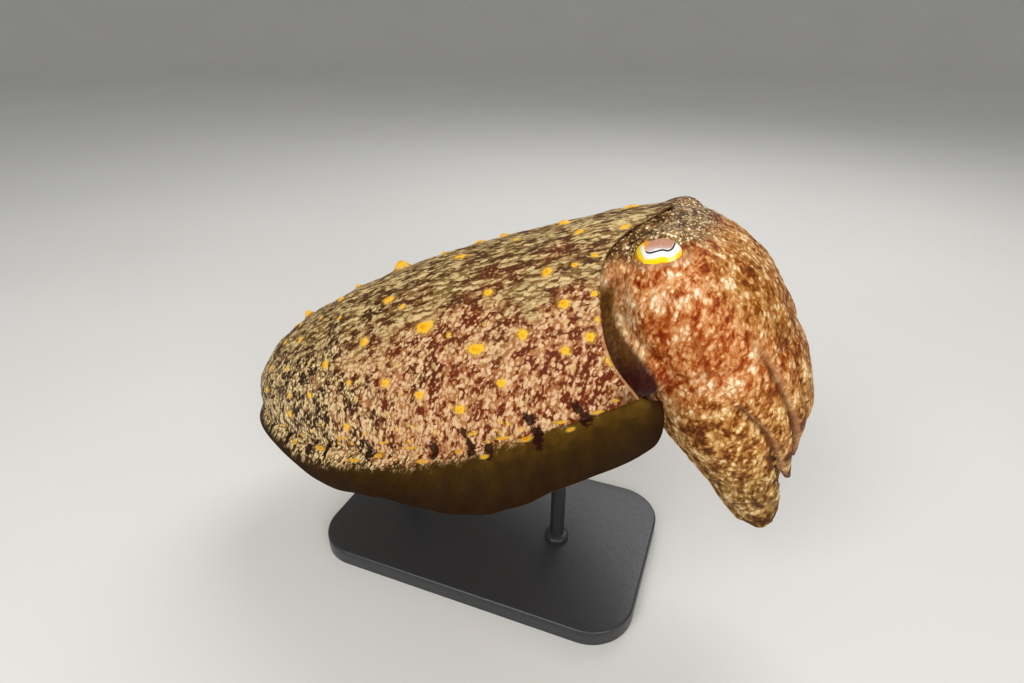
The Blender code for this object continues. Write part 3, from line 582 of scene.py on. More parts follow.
def buildNeckForm():
    # an oval throat below; on the flanks the form follows the mantle's wall and then dives to the head, and under the
    # nape it keeps close to the mantle's edge and runs over on to the crown
    n = neck
    angles = np.linspace(0, 2 * np.pi, n["columns"], endpoint=False)[None, :]
    x = np.linspace(n["start"], n["end"], n["rows"])[:, None]
    share = ramp(x, *n["narrow"])
    wide, up, down = (n["rear"][k] + (n["front"][k] - n["rear"][k]) * share for k in range(3))
    s = np.sin(angles)
    oval = np.stack([x + 0 * s, -wide * np.cos(angles), np.where(s > 0, up, down) * s], -1)
    past = x - mantleMargin(angles) * mantle["length"]
    nape = n["napeInset"][0] + (n["napeInset"][1] - n["napeInset"][0]) * ramp(-past, 0, n["napeRun"])
    nape = nape + mantle["droop"] * ramp(past, -n["droopRun"], 0)
    nape = nape + n["napeDepth"] * (np.clip(past, 0, None) / n["napeDive"]) ** 1.3
    flank = n["flankInset"][0] + (n["flankInset"][1] - n["flankInset"][0]) * ramp(x, *n["flankDive"])
    inset = flank + (nape - flank) * ramp(s, *n["napeFrom"])
    collar = mantleSurface(x / mantle["length"], angles, inset)
    grid = oval + (collar - oval) * ramp(s, *n["collarFrom"])[..., None]
    return tube("neckForm", grid, grid[0].mean(0), grid[-1].mean(0))


def meshArrays(mesh):
    points = np.zeros(len(mesh.vertices) * 3, np.float32)
    mesh.vertices.foreach_get("co", points)
    edges = np.zeros(len(mesh.edges) * 2, np.int32)
    mesh.edges.foreach_get("vertices", edges)
    return points.reshape(-1, 3).astype(float), edges.reshape(-1, 2)


def pull(points, edges, share):
    # moves each point a share of the way to the mean of its neighbours
    count = np.bincount(edges.ravel(), minlength=len(points))
    total = np.stack([np.bincount(edges[:, 0], points[edges[:, 1], k], len(points))
                      + np.bincount(edges[:, 1], points[edges[:, 0], k], len(points)) for k in range(3)], -1)
    return points + (total / np.maximum(count, 1)[:, None] - points) * share


def smoothed(points, edges, times, mask=None):
    # pulls in and pushes out in turn, so that steps go and the size stays
    weight = 1.0 if mask is None else mask[:, None]
    for _ in range(times):
        for share in (0.5, -0.52):
            points = points + (pull(points, edges, share) - points) * weight
    return points


def joinForms(name, forms, voxel):
    # one closed skin round all the forms
    base = forms[0]
    with bpy.context.temp_override(active_object=base, object=base, selected_objects=forms,
                                   selected_editable_objects=forms):
        bpy.ops.object.join()
    wrap = base.modifiers.new("wrap", "REMESH")
    wrap.mode = "VOXEL"
    wrap.voxel_size = voxel
    graph = bpy.context.evaluated_depsgraph_get()
    mesh = bpy.data.meshes.new_from_object(base.evaluated_get(graph))
    bpy.data.objects.remove(base)
    mesh.name = name
    return mesh


def eyeRegion(points, side):
    # places round one eye: height across the opening, ratio to the opening's oval, distance and direction from the
    # eye's centre, and that centre
    centre, along, up, out = eyeAxes(side)
    away = points - centre
    far = np.linalg.norm(away, axis=-1)
    way = away / np.maximum(far, 1e-9)[..., None]
    a, b = way @ along * eyeShape["radius"], way @ up * eyeShape["radius"]
    shiftA, shiftB = eyeShape["openShift"]
    halfHeight = np.where(b > shiftB, *eyeShape["openHalfHeight"])
    ratio = np.hypot((a - shiftA) / eyeShape["openHalfWidth"], (b - shiftB) / halfHeight)
    facing = way @ out
    ratio = ratio + (eyeShape["farRatio"] - ratio) * (1 - ramp(facing, *eyeShape["facingFade"]))
    return b, ratio, far, way, centre


lids = {
    "pit": 12.2 * mm, "rim": 14.45 * mm, "wallSpan": (0.90, 1.06), "holdSpan": (1.02, 1.75),
    "rimAt": 1.12, "rimWidth": 0.10, "rimRise": 0.25 * mm, "upperRise": 0.9 * mm, "upperSpan": (-2 * mm, 6 * mm),
    "foldAt": 1.55, "foldWidth": 0.16, "foldDepth": 0.5 * mm,
    # ratio to the opening up to which each step works, and its span of distances from the eye's centre
    "refine": (1.75, 11 * mm, 21 * mm), "soften": (2.2, 0.0, 22 * mm), "shape": (3.0, 10 * mm, 22 * mm),
    "browTop": 65.2 * mm, "browSoft": 1.2 * mm, "browFrom": (13 * mm, 20 * mm),
}


def aroundEye(ratio, far, step):
    limit, nearest, furthest = lids[step]
    return (ratio < limit) & (far > nearest) & (far < furthest)


def refineNear(mesh, side):
    # cuts the faces round the eye into sixteen each, so that the lids can be shaped
    bm = bmesh.new()
    bm.from_mesh(mesh)
    centres = np.array([f.calc_center_median() for f in bm.faces])
    _, ratio, far, _, _ = eyeRegion(toAnimal(centres), side)
    chosen = aroundEye(ratio, far, "refine")
    bm.faces.ensure_lookup_table()
    edges = {e for i in np.nonzero(chosen)[0] for e in bm.faces[i].edges}
    bmesh.ops.subdivide_edges(bm, edges=list(edges), cuts=3, use_grid_fill=True)
    bm.to_mesh(mesh)
    bm.free()


def shapeLids(points, side):
    # the skin dips into a pit under the eyeball, rises to a low rim at the oval and settles into the head
    b, ratio, far, way, centre = eyeRegion(points, side)
    near = aroundEye(ratio, far, "shape")
    upper = ramp(b, *lids["upperSpan"])
    wall = lids["pit"] + (lids["rim"] - lids["pit"]) * ramp(ratio, *lids["wallSpan"])
    crest = (lids["rimRise"] + lids["upperRise"] * upper) * bell(ratio - lids["rimAt"], lids["rimWidth"])
    fold = -lids["foldDepth"] * (0.4 + 0.6 * upper) * bell(ratio - lids["foldAt"], lids["foldWidth"])
    hold = 1 - ramp(ratio, *lids["holdSpan"])
    shaped = far + (wall - far) * hold + crest + fold
    return np.where(near[:, None], centre + way * shaped[:, None], points)


def pressBrow(points):
    # brings the tops of the eyes' sockets down to the brow's height, in a soft bend
    height = points[:, 2] - lids["browTop"]
    press = 0.5 * (height + np.sqrt(height ** 2 + lids["browSoft"] ** 2))
    points[:, 2] -= press * ramp(np.abs(points[:, 1]), *lids["browFrom"])


def buildHeadSkin():
    # wraps the forms in one skin, smooths it at the arms' roots and the eyes, and shapes the lids and the brow
    forms = [buildHeadForm(), buildNeckForm()]
    forms += [buildArmForm(pair, side) for pair in range(4) for side in (-1, 1)]
    mesh = joinForms("headSkin", forms, crown["voxel"])
    print("head forms joined:", len(mesh.polygons), "faces")
    points, edges = meshArrays(mesh)
    points = smoothed(points, edges, skinRelief["smoothing"]["all"])
    mesh.vertices.foreach_set("co", points.astype(np.float32).ravel())
    for side in (-1, 1):
        refineNear(mesh, side)
    points, edges = meshArrays(mesh)
    points = toAnimal(points)
    for side in (-1, 1):
        _, ratio, far, _, _ = eyeRegion(points, side)
        near = aroundEye(ratio, far, "soften").astype(float)
        points = smoothed(points, edges, skinRelief["smoothing"]["eyes"], near)
    root = bell(points[:, 2] - arms["seam"][0], arms["seam"][1])
    points = smoothed(points, edges, skinRelief["smoothing"]["arms"], root)
    for side in (-1, 1):
        points = shapeLids(points, side)
    pressBrow(points)
    mesh.vertices.foreach_set("co", toRow(points).astype(np.float32).ravel())
    mesh.update()
    normals = np.zeros(len(points) * 3, np.float32)
    mesh.vertex_normals.foreach_get("vector", normals)
    turned = toAnimal(normals.reshape(-1, 3) + np.array(pose["rearTip"]))
    points, marks = headRelief(points, turned)
    mesh.vertices.foreach_set("co", toRow(points).astype(np.float32).ravel())
    setMarks(mesh, marks)
    mesh.update()
    return linkPiece("headSkin", mesh)


skinRelief = {
    "smoothing": {"all": 4, "eyes": 8, "arms": 12},
    # height, size and seed of the uneven skin
    "swell": (0.35 * mm, 18 * mm, 6), "grain": (0.14 * mm, 4.5 * mm, 7), "wrinkle": (0.35 * mm, 4.2 * mm, 8),
    "crease": 1.7 * mm, "creaseWidth": 1.3 * mm, "creaseTops": ((-24.0, 6.0), (-14.0, 14.0), (25.0, 33.0)),
    "web": (0.6 * mm, 4.0 * mm), "webRelief": 0.5 * mm,
    # level in mm and degrees from the front
    "keelAt": ((4, 162), (-30, 160), (-60, 150), (-90, 147), (-112, 142), (-124, 134)),
    "keel": 1.8 * mm, "keelWidth": 1.3 * mm,
    "cheekFold": ((18, 86), (4, 87), (-8, 92)), "foldRelief": 0.8 * mm, "foldWidth": 1.2 * mm,
    # where the skin counts as the neck inside the mantle's edge, whose colour is partly painted shade
    "neckRing": (1.05, 1.11), "neckTop": (42, 50), "neckFront": 322 * mm, "neckFade": 6 * mm,
    "neckFromEye": (17 * mm, 19 * mm),
}


def headRelief(points, out):
    # adds the arms' creases, the keels of the rear arms, wrinkles under the eyes and an uneven skin
    r = skinRelief
    level = points[:, 2] / mm
    row = crownRow(level)
    _, middle, length, half = crownSizes(row)
    cx = (points[:, 0] / mm - middle) / np.maximum(length, 1.0)
    sy = -points[:, 1] / mm / np.maximum(half, 1.0)
    n = crown["squareness"]
    ring = (np.abs(cx) ** n + np.abs(sy) ** n) ** (1 / n)
    angle = np.abs(np.arctan2(sy, cx))
    radial = unit(np.stack([cx, -sy, 0 * cx], -1))
    facing = (out * radial).sum(-1)
    outside = ramp(ring, 0.88, 0.95) * ramp(facing, 0.0, 0.4) * (1 - ramp(ring, 1.08, 1.16))
    inner = ramp(-level, 8, 14) * (1 - ramp(facing, -0.5, 0.1)) * (1 - ramp(ring, 0.93, 0.99))
    spread = 0.5 * (length + half) * mm
    crease, web = np.zeros(len(points)), np.zeros(len(points))
    clamped = np.minimum(level, arms["levels"][0])
    for pair in range(3):
        edge = armEdges(pair, clamped)[1] + np.radians(0.22) * np.clip(level + 10, 0, 40)
        fade = ramp(-level, *r["creaseTops"][pair]) * (level > arms["tips"][pair] + 4)
        offset = (edge - angle) * spread
        crease = np.maximum(crease, bell(offset, r["creaseWidth"]) * fade)
        if pair:
            inside = ramp(offset, 0, r["web"][0]) * (1 - ramp(offset, 0.7 * r["web"][1], r["web"][1]))
            web = np.maximum(web, inside * fade)
    crease, web = crease * outside, web * outside
    foldLevels, foldDegrees = np.array(r["cheekFold"]).T
    foldAt = np.radians(np.interp(-level, -foldLevels, foldDegrees))
    foldTop, foldEnd = foldLevels[0], foldLevels[-1]
    cheekFold = bell((angle - foldAt) * spread, r["foldWidth"]) * outside
    cheekFold = cheekFold * ramp(-level, -foldTop - 5, -foldTop + 3) * ramp(level, foldEnd - 6, foldEnd)
    keelLevels, keelDegrees = np.array(r["keelAt"]).T
    keelAt = np.radians(np.interp(-level, -keelLevels, keelDegrees))
    keel = bell((angle - keelAt) * spread, r["keelWidth"]) * ramp(-level, -2, 12) * outside
    eyes = [eyeRegion(points, side) for side in (-1, 1)]
    lift = np.where(points[:, 1] < 0, eyes[0][0], eyes[1][0])
    ratio = np.minimum(eyes[0][1], eyes[1][1])
    farEye = np.minimum(eyes[0][2], eyes[1][2])
    clear = ramp(ratio, 1.2, 1.7)
    below = outside * ramp(ratio, 1.3, 1.9) * (1 - ramp(ratio, 3.0, 5.0)) * (1 - ramp(lift, -3 * mm, 2 * mm))
    stretched = points * np.array([1.0, 1.0, 0.35])
    wrinkle = unevenSkin(stretched, *r["wrinkle"]) * (0.35 + below)
    relief = (unevenSkin(points, *r["swell"]) + unevenSkin(points, *r["grain"]) + wrinkle) * clear
    relief = relief - r["crease"] * crease - r["webRelief"] * web - r["foldRelief"] * cheekFold + r["keel"] * keel
    points = points + out * relief[:, None]
    # share of the neck inside the mantle's edge, whose dark colour is partly painted shade
    neckShadeShare = ramp(ring, *r["neckRing"]) * (1 - ramp(level, *r["neckTop"]))
    neckShadeShare = neckShadeShare * ramp(r["neckFront"] - points[:, 0], 0.0, r["neckFade"]) * ramp(farEye, *r["neckFromEye"])
    marks = np.stack([crease, keel, inner], -1)
    place = np.stack([np.minimum(ratio / eyeShape["farRatio"], 1.0), angle / np.pi, neckShadeShare], -1)
    return points, {"marks": marks, "place": place, "folds": np.stack([web, cheekFold, crease], -1)}


headSkin = buildHeadSkin()
print("head skin:", len(headSkin.data.polygons), "faces")

# Eyes
iris = {
    "slit": ((-7.1, 1.6), (-6.5, 0.0), (-4.7, -1.4), (-1.1, -1.2), (1.2, -0.6), (2.4, -0.5), (4.2, -0.8), (6.0, 0.2),
             (7.0, 2.7), (7.3, 5.7)),
    "slitStart": (-6.6, -5.6), "flapTop": 9.0, "flapRise": 0.40 * mm, "slitDepth": 0.45 * mm, "slitHalf": 0.42,
    "rings": 92, "columns": 260, "fineRings": 78, "fineReach": 66.0, "ballTop": 63.2 * mm, "frontFrom": 0.2,
    "markSpan": 12.0, "placeSpan": 24.0,    # mm that the eye's marks run over from 0 to 1
}


def polylineDistance(a, b, line):
    # distance from each place to an open line of points
    best = np.full(a.shape, 1e9)
    for (ax, ay), (bx, by) in zip(line[:-1], line[1:]):
        k = np.clip(((a - ax) * (bx - ax) + (b - ay) * (by - ay)) / ((bx - ax) ** 2 + (by - ay) ** 2), 0, 1)
        best = np.minimum(best, np.hypot(a - ax - k * (bx - ax), b - ay - k * (by - ay)))
    return best


def smoothLine(line, count=60):
    # a smooth curve through the line's points, as many evenly spaced points
    line = np.array(line, float)
    run = np.concatenate([[0], np.cumsum(np.linalg.norm(np.diff(line, axis=0), axis=1))])
    k = np.linspace(0, run[-1], count)
    return list(zip(through(run, line[:, 0], k), through(run, line[:, 1], k)))


def buildEye(side):
    # a ball whose outer face carries the flap of the iris, the thin wavy pupil under its edge, and the pale band
    centre, along, up, out = eyeAxes(side)
    e = iris
    fine = np.linspace(0, e["fineReach"], e["fineRings"])[1:]
    coarse = np.linspace(e["fineReach"], 180, e["rings"] - e["fineRings"])[1:-1]
    theta = np.radians(np.concatenate([fine, coarse]))[:, None]
    phi = np.linspace(0, 2 * np.pi, e["columns"], endpoint=False)[None, :]
    a, b = np.sin(theta) * np.cos(phi), np.sin(theta) * np.sin(phi)
    way = a[..., None] * along + b[..., None] * up + np.cos(theta)[..., None] * out
    a, b = a * eyeShape["radius"] / mm, b * eyeShape["radius"] / mm
    front = np.cos(theta) > e["frontFrom"]
    line = smoothLine(e["slit"])
    distance = polylineDistance(a, b, line)
    xs, ys = np.array(line).T
    order = np.argsort(xs)
    floor = np.interp(a, xs[order], ys[order])
    inFlap = (b > floor) & (a > xs.min()) & (a < xs.max()) & (b < e["flapTop"])
    signed = np.where(inFlap, -distance, distance)
    started = ramp(a, *e["slitStart"])
    slit = bell(distance, e["slitHalf"]) * (0.25 + 0.75 * started)
    relief = e["flapRise"] * (1 - ramp(signed, -0.5, 0.1)) - e["slitDepth"] * slit
    points = centre + way * (eyeShape["radius"] + np.where(front, relief, 0))[..., None]
    points[..., 2] = np.minimum(points[..., 2], e["ballTop"])
    marks = np.stack([np.clip(signed / e["markSpan"] + 0.5, 0, 1), slit, front + 0 * a], -1)
    place = np.stack([a / e["placeSpan"] + 0.5, b / e["placeSpan"] + 0.5, 0 * a], -1)
    name = "eyeRight" if side < 0 else "eyeLeft"
    poles = centre + out * (eyeShape["radius"] + e["flapRise"]), centre - out * eyeShape["radius"]
    return tube(name, points, poles[0], poles[1], {"marks": marks, "place": place})


eyePieces = {side: buildEye(side) for side in (-1, 1)}
print("eyes made")

# Suckers
suckers = {
    "perRow": 34, "acrossRows": (-0.66, -0.22, 0.22, 0.66), "keelShare": 0.30, "radius": 1.75 * mm, "shrink": 0.62,
    "sides": 10, "seed": 21, "aboveBase": 2.0, "bunching": 0.92, "lastAt": 0.975, "widthShare": 0.105,
    "uneven": (0.88, 1.08), "floorDrop": 0.08,
    # share of the radius, height over the skin as a share of the radius
    "profile": ((0.45, -0.45), (0.50, 0.15), (0.86, 0.42), (1.0, 0.72), (0.92, 0.96), (0.72, 0.98), (0.52, 0.70),
                (0.22, 0.52)),
}


def buildSuckers():
    # one small cup of rings, set on many places of the arms' inner faces at once
    s = suckers
    pick = np.random.default_rng(s["seed"])
    bases, outs, sizes = [], [], []
    for pair in range(4):
        start, tip = float(crownRow(arms["base"] - s["aboveBase"])), float(crownRow(arms["tips"][pair]))
        for side in (-1, 1):
            for column, across in enumerate(s["acrossRows"]):
                across = across if pair < 3 else across * (1 - s["keelShare"]) + s["keelShare"]
                at = (np.arange(s["perRow"]) + 0.25 + 0.5 * (column % 2)) / s["perRow"]
                at = np.minimum(at ** s["bunching"], s["lastAt"])
                rows = start + (tip - start) * at
                grid = armRings(pair, rows, side)
                inner = grid[:, arms["outerPoints"]:]
                spot = (across / arms["innerSpan"] + 1) / 2 * (arms["innerPoints"] - 1)
                i = min(int(spot), arms["innerPoints"] - 2)
                base = inner[:, i] + (inner[:, i + 1] - inner[:, i]) * (spot - i)
                out = inner[:, arms["innerPoints"] // 2] - grid[:, arms["outerPoints"] // 2]
                width = np.linalg.norm(inner[:, -1] - inner[:, 0], axis=-1)
                size = np.minimum(s["radius"] * (1 - s["shrink"] * at), s["widthShare"] * width)
                bases.append(base)
                outs.append(unit(out))
                sizes.append(size * pick.uniform(*s["uneven"], len(size)))
    bases, outs, sizes = np.concatenate(bases), np.concatenate(outs), np.concatenate(sizes)
    helper = np.where(np.abs(outs[:, 2:3]) < 0.9, np.array([[0, 0, 1.0]]), np.array([[1.0, 0, 0]]))
    sideways = unit(np.cross(outs, helper))
    other = np.cross(outs, sideways)
    turn = np.linspace(0, 2 * np.pi, s["sides"], endpoint=False)
    wide, high = np.array(s["profile"]).T
    circle = (sideways[:, None, None] * np.cos(turn)[None, None, :, None]
              + other[:, None, None] * np.sin(turn)[None, None, :, None])
    rings = (bases[:, None, None] + sizes[:, None, None, None] * (circle * wide[None, :, None, None]
             + outs[:, None, None] * high[None, :, None, None]))
    count, levels, around = rings.shape[:3]
    bottoms = bases + outs * (sizes * high[0])[:, None]
    centres = bases + outs * (sizes * (high[-1] - s["floorDrop"]))[:, None]
    each = levels * around + 2
    points = np.concatenate([rings.reshape(count, -1, 3), bottoms[:, None], centres[:, None]], 1).reshape(-1, 3)
    template = np.array([[f[0], f[1], f[2], f[3] if len(f) == 4 else -1]
                         for f in tubeFaces(levels, around, True, True)])
    shift = (np.arange(count) * each)[:, None, None]
    quads = template[template[:, 3] >= 0]
    trios = template[template[:, 3] < 0][:, :3]
    faces = (quads[None] + shift).reshape(-1, 4).tolist() + (trios[None] + shift).reshape(-1, 3).tolist()
    depth = np.concatenate([np.repeat(np.linspace(0, 1, levels), around), [0.0, 1.0]])
    place = np.stack([np.tile(depth, count), np.repeat(sizes / s["radius"], each), np.zeros(count * each)], -1)
    return makePiece("suckers", points, faces, {"place": place})


suckerPiece = buildSuckers()
print("suckers:", len(suckerPiece.data.polygons), "faces")

# Mouth, beak and funnel
mouth = {"rings": ((17.0, -9.0), (15.0, -13.0), (14.6, -16.0), (12.6, -20.0), (9.6, -22.4), (7.2, -22.8), (5.4, -21.2),
                   (4.6, -18.0), (3.0, -16.5)),
         "rows": 60, "columns": 128, "folds": 26, "foldDepth": 0.55 * mm,
         "beak": ((4.4, -15.0), (4.2, -20.0), (3.4, -23.5), (2.0, -26.6), (0.6, -28.2))}
funnel = {"path": ((271, -32.0), (278, -32.4), (284, -35.2), (288.2, -40.6), (290, -49)), "halfWidth": (16.5, 10.0),
          "halfHeight": (7.0, 5.5), "tilt": (14.0, 66.0), "wall": 1.8, "rows": 60, "columns": 72}


def mouthMiddle():
    _, middle, _, _ = crownSizes(7.0)
    return float(middle)


def profileRings(rings, rows, columns):
    # a profile of radius and level, turned round the crown's middle line
    radius, level = np.array(rings, float).T
    run = np.concatenate([[0], np.cumsum(np.hypot(np.diff(radius), np.diff(level)))])
    k = np.linspace(0, run[-1], rows)
    radius, level = through(run, radius, k)[:, None], through(run, level, k)[:, None]
    angles = np.linspace(0, 2 * np.pi, columns, endpoint=False)[None, :]
    grid = np.stack([mouthMiddle() + radius * np.cos(angles), radius * np.sin(angles), level + 0 * angles], -1) * mm
    return grid, angles, k / run[-1]


def buildMouth():
    grid, angles, k = profileRings(mouth["rings"], mouth["rows"], mouth["columns"])
    middle = np.array([mouthMiddle() * mm, 0, 0])
    out = unit((grid - middle) * np.array([1.0, 1.0, 0.0]))
    fold = mouth["foldDepth"] * np.abs(np.sin(mouth["folds"] / 2 * angles)) * bell(k[:, None] - 0.55, 0.28)
    grid = grid + out * fold[..., None]
    return tube("mouthRing", grid, grid[0].mean(0), grid[-1].mean(0))


def buildBeak():
    grid = profileRings(mouth["beak"], 30, 40)[0]
    middle = mouthMiddle() * mm
    grid[..., 1] *= 0.72
    lean = ramp(-grid[..., 2], 20 * mm, 29 * mm)
    grid[..., 0] = middle + (grid[..., 0] - middle) * 0.9 + 0.8 * mm * lean
    return tube("beak", grid, grid[0].mean(0), grid[-1].mean(0) - np.array([0, 0, 0.2 * mm]))


def buildFunnel():
    # oval rings along a path that bends down and forward, out and back inside, with a rounded lip
    f = funnel
    path = np.array(f["path"], float)
    run = np.concatenate([[0], np.cumsum(np.linalg.norm(np.diff(path, axis=0), axis=1))])
    k = np.linspace(0, 1, f["rows"])
    share = np.concatenate([k, k[:-12:-1], 1 - 0.75 * k[12::6]])
    wall = np.concatenate([0 * k, 0.5 * f["wall"] * (1 - np.cos(np.linspace(0, np.pi, 11))), f["wall"] + 0 * k[12::6]])
    share[len(k): len(k) + 11] = 1 - 0.02 * np.linspace(0, 1, 11)
    forward = np.zeros(len(share))
    forward[len(k): len(k) + 11] = 0.5 * f["wall"] * np.sin(np.linspace(0, np.pi, 11))
    x, z = through(run, path[:, 0], share * run[-1]), through(run, path[:, 1], share * run[-1])
    half, tall, tilt = (a + (b - a) * share for a, b in (f["halfWidth"], f["halfHeight"], f["tilt"]))
    lean = np.radians(tilt)
    x, z = x + forward * np.cos(lean), z - forward * np.sin(lean)
    angles = np.linspace(0, 2 * np.pi, f["columns"], endpoint=False)[None, :]
    across = (tall - wall)[:, None] * np.sin(angles)
    grid = np.stack([x[:, None] + across * np.sin(lean)[:, None], (half - wall)[:, None] * np.cos(angles),
                     z[:, None] + across * np.cos(lean)[:, None]], -1) * mm
    inside = np.repeat((wall / f["wall"])[:, None], f["columns"], 1)
    place = np.stack([inside, inside * 0, inside * 0], -1)
    return tube("funnelSkin", grid, grid[0].mean(0), grid[-1].mean(0), {"place": place})


mouthRing = buildMouth()
beak = buildBeak()
funnelSkin = buildFunnel()
print("mouth, beak and funnel made")

# Stand
stand = {"length": 0.230, "width": 0.140, "height": 0.012, "corner": 0.030, "edge": 0.0016,
         "rodRadius": 0.005, "rodPlaces": (-0.070, 0.050), "rodSink": 0.0012, "collar": 0.0085,
         "collarHeight": 0.004, "collarSlope": 0.0012, "collarStraight": 0.7, "collarTip": 0.0004, "splitDegrees": 40}


def buildBase():
    # rounded rectangle whose outline shrinks a little at the top edge, in a quarter circle, and at the bottom
    s = stand
    turn = np.linspace(0, 2 * np.pi, 160, endpoint=False)
    c, n = np.cos(turn), np.sin(turn)
    steps = np.linspace(0, np.pi / 2, 9)
    inset = np.concatenate([[0.0008, 0.0], s["edge"] * (1 - np.cos(steps)), [0.01, 0.035]])
    height = np.concatenate([[0.0, 0.0008], s["height"] - s["edge"] + s["edge"] * np.sin(steps),
                             [s["height"], s["height"]]])
    inner = np.sign(c) * (s["length"] / 2 - s["corner"]), np.sign(n) * (s["width"] / 2 - s["corner"])
    radius = (s["corner"] - np.minimum(inset, s["corner"] * 0.9))[:, None]
    spare = np.maximum(inset - s["corner"] * 0.9, 0)[:, None]
    x = inner[0] * (1 - spare / (s["length"] / 2)) + radius * c
    y = inner[1] * (1 - spare / (s["width"] / 2)) + radius * n
    grid = np.stack([x, y, np.broadcast_to(height[:, None], x.shape)], -1)
    return tube("standBase", toAnimal(grid), toAnimal(np.zeros(3)), toAnimal(np.array([0, 0, s["height"]])))


def rodTop(x):
    # height of the mantle's underside over a rod, found along the belly line
    t = np.linspace(0.02, 0.8, 800)
    belly = toRow(mantleSurface(t, 1.5 * np.pi))
    return float(np.interp(x, belly[:, 0], belly[:, 2]))


def buildRod(name, x):
    # straight rod with a low collar on the base, ending just inside the belly's skin
    s = stand
    top = rodTop(x) + s["rodSink"]
    collarTop = s["height"] + s["collarHeight"]
    profile = np.array([(s["collar"], s["height"]),
                        (s["collar"], s["height"] + s["collarHeight"] * s["collarStraight"]),
                        (s["collar"] - s["collarSlope"], collarTop), (s["rodRadius"], collarTop + s["collarTip"]),
                        (s["rodRadius"], top)])
    turn = np.linspace(0, 2 * np.pi, 48, endpoint=False)[None, :]
    radius, height = profile[:, 0:1], profile[:, 1:2]
    grid = np.stack([x + radius * np.cos(turn), radius * np.sin(turn), height + 0 * turn], -1)
    ends = np.array([x, 0, profile[0, 1]]), np.array([x, 0, top])
    piece = tube(name, toAnimal(grid), toAnimal(ends[0]), toAnimal(ends[1]))
    edge = piece.modifiers.new("edge", "EDGE_SPLIT")
    edge.split_angle = math.radians(s["splitDegrees"])
    return piece


standBase = buildBase()
rods = {name: buildRod(name, x) for name, x in zip(("standRodRear", "standRodFront"), stand["rodPlaces"])}
print("stand made")


# Finishes
def tone(red, green, blue):
    # a screen colour from 0 to 255 as linear light
    c = np.array([red, green, blue]) / 255.0
    linear = np.where(c <= 0.04045, c / 12.92, ((c + 0.055) / 1.055) ** 2.4)
    return (*[float(v) for v in linear], 1.0)


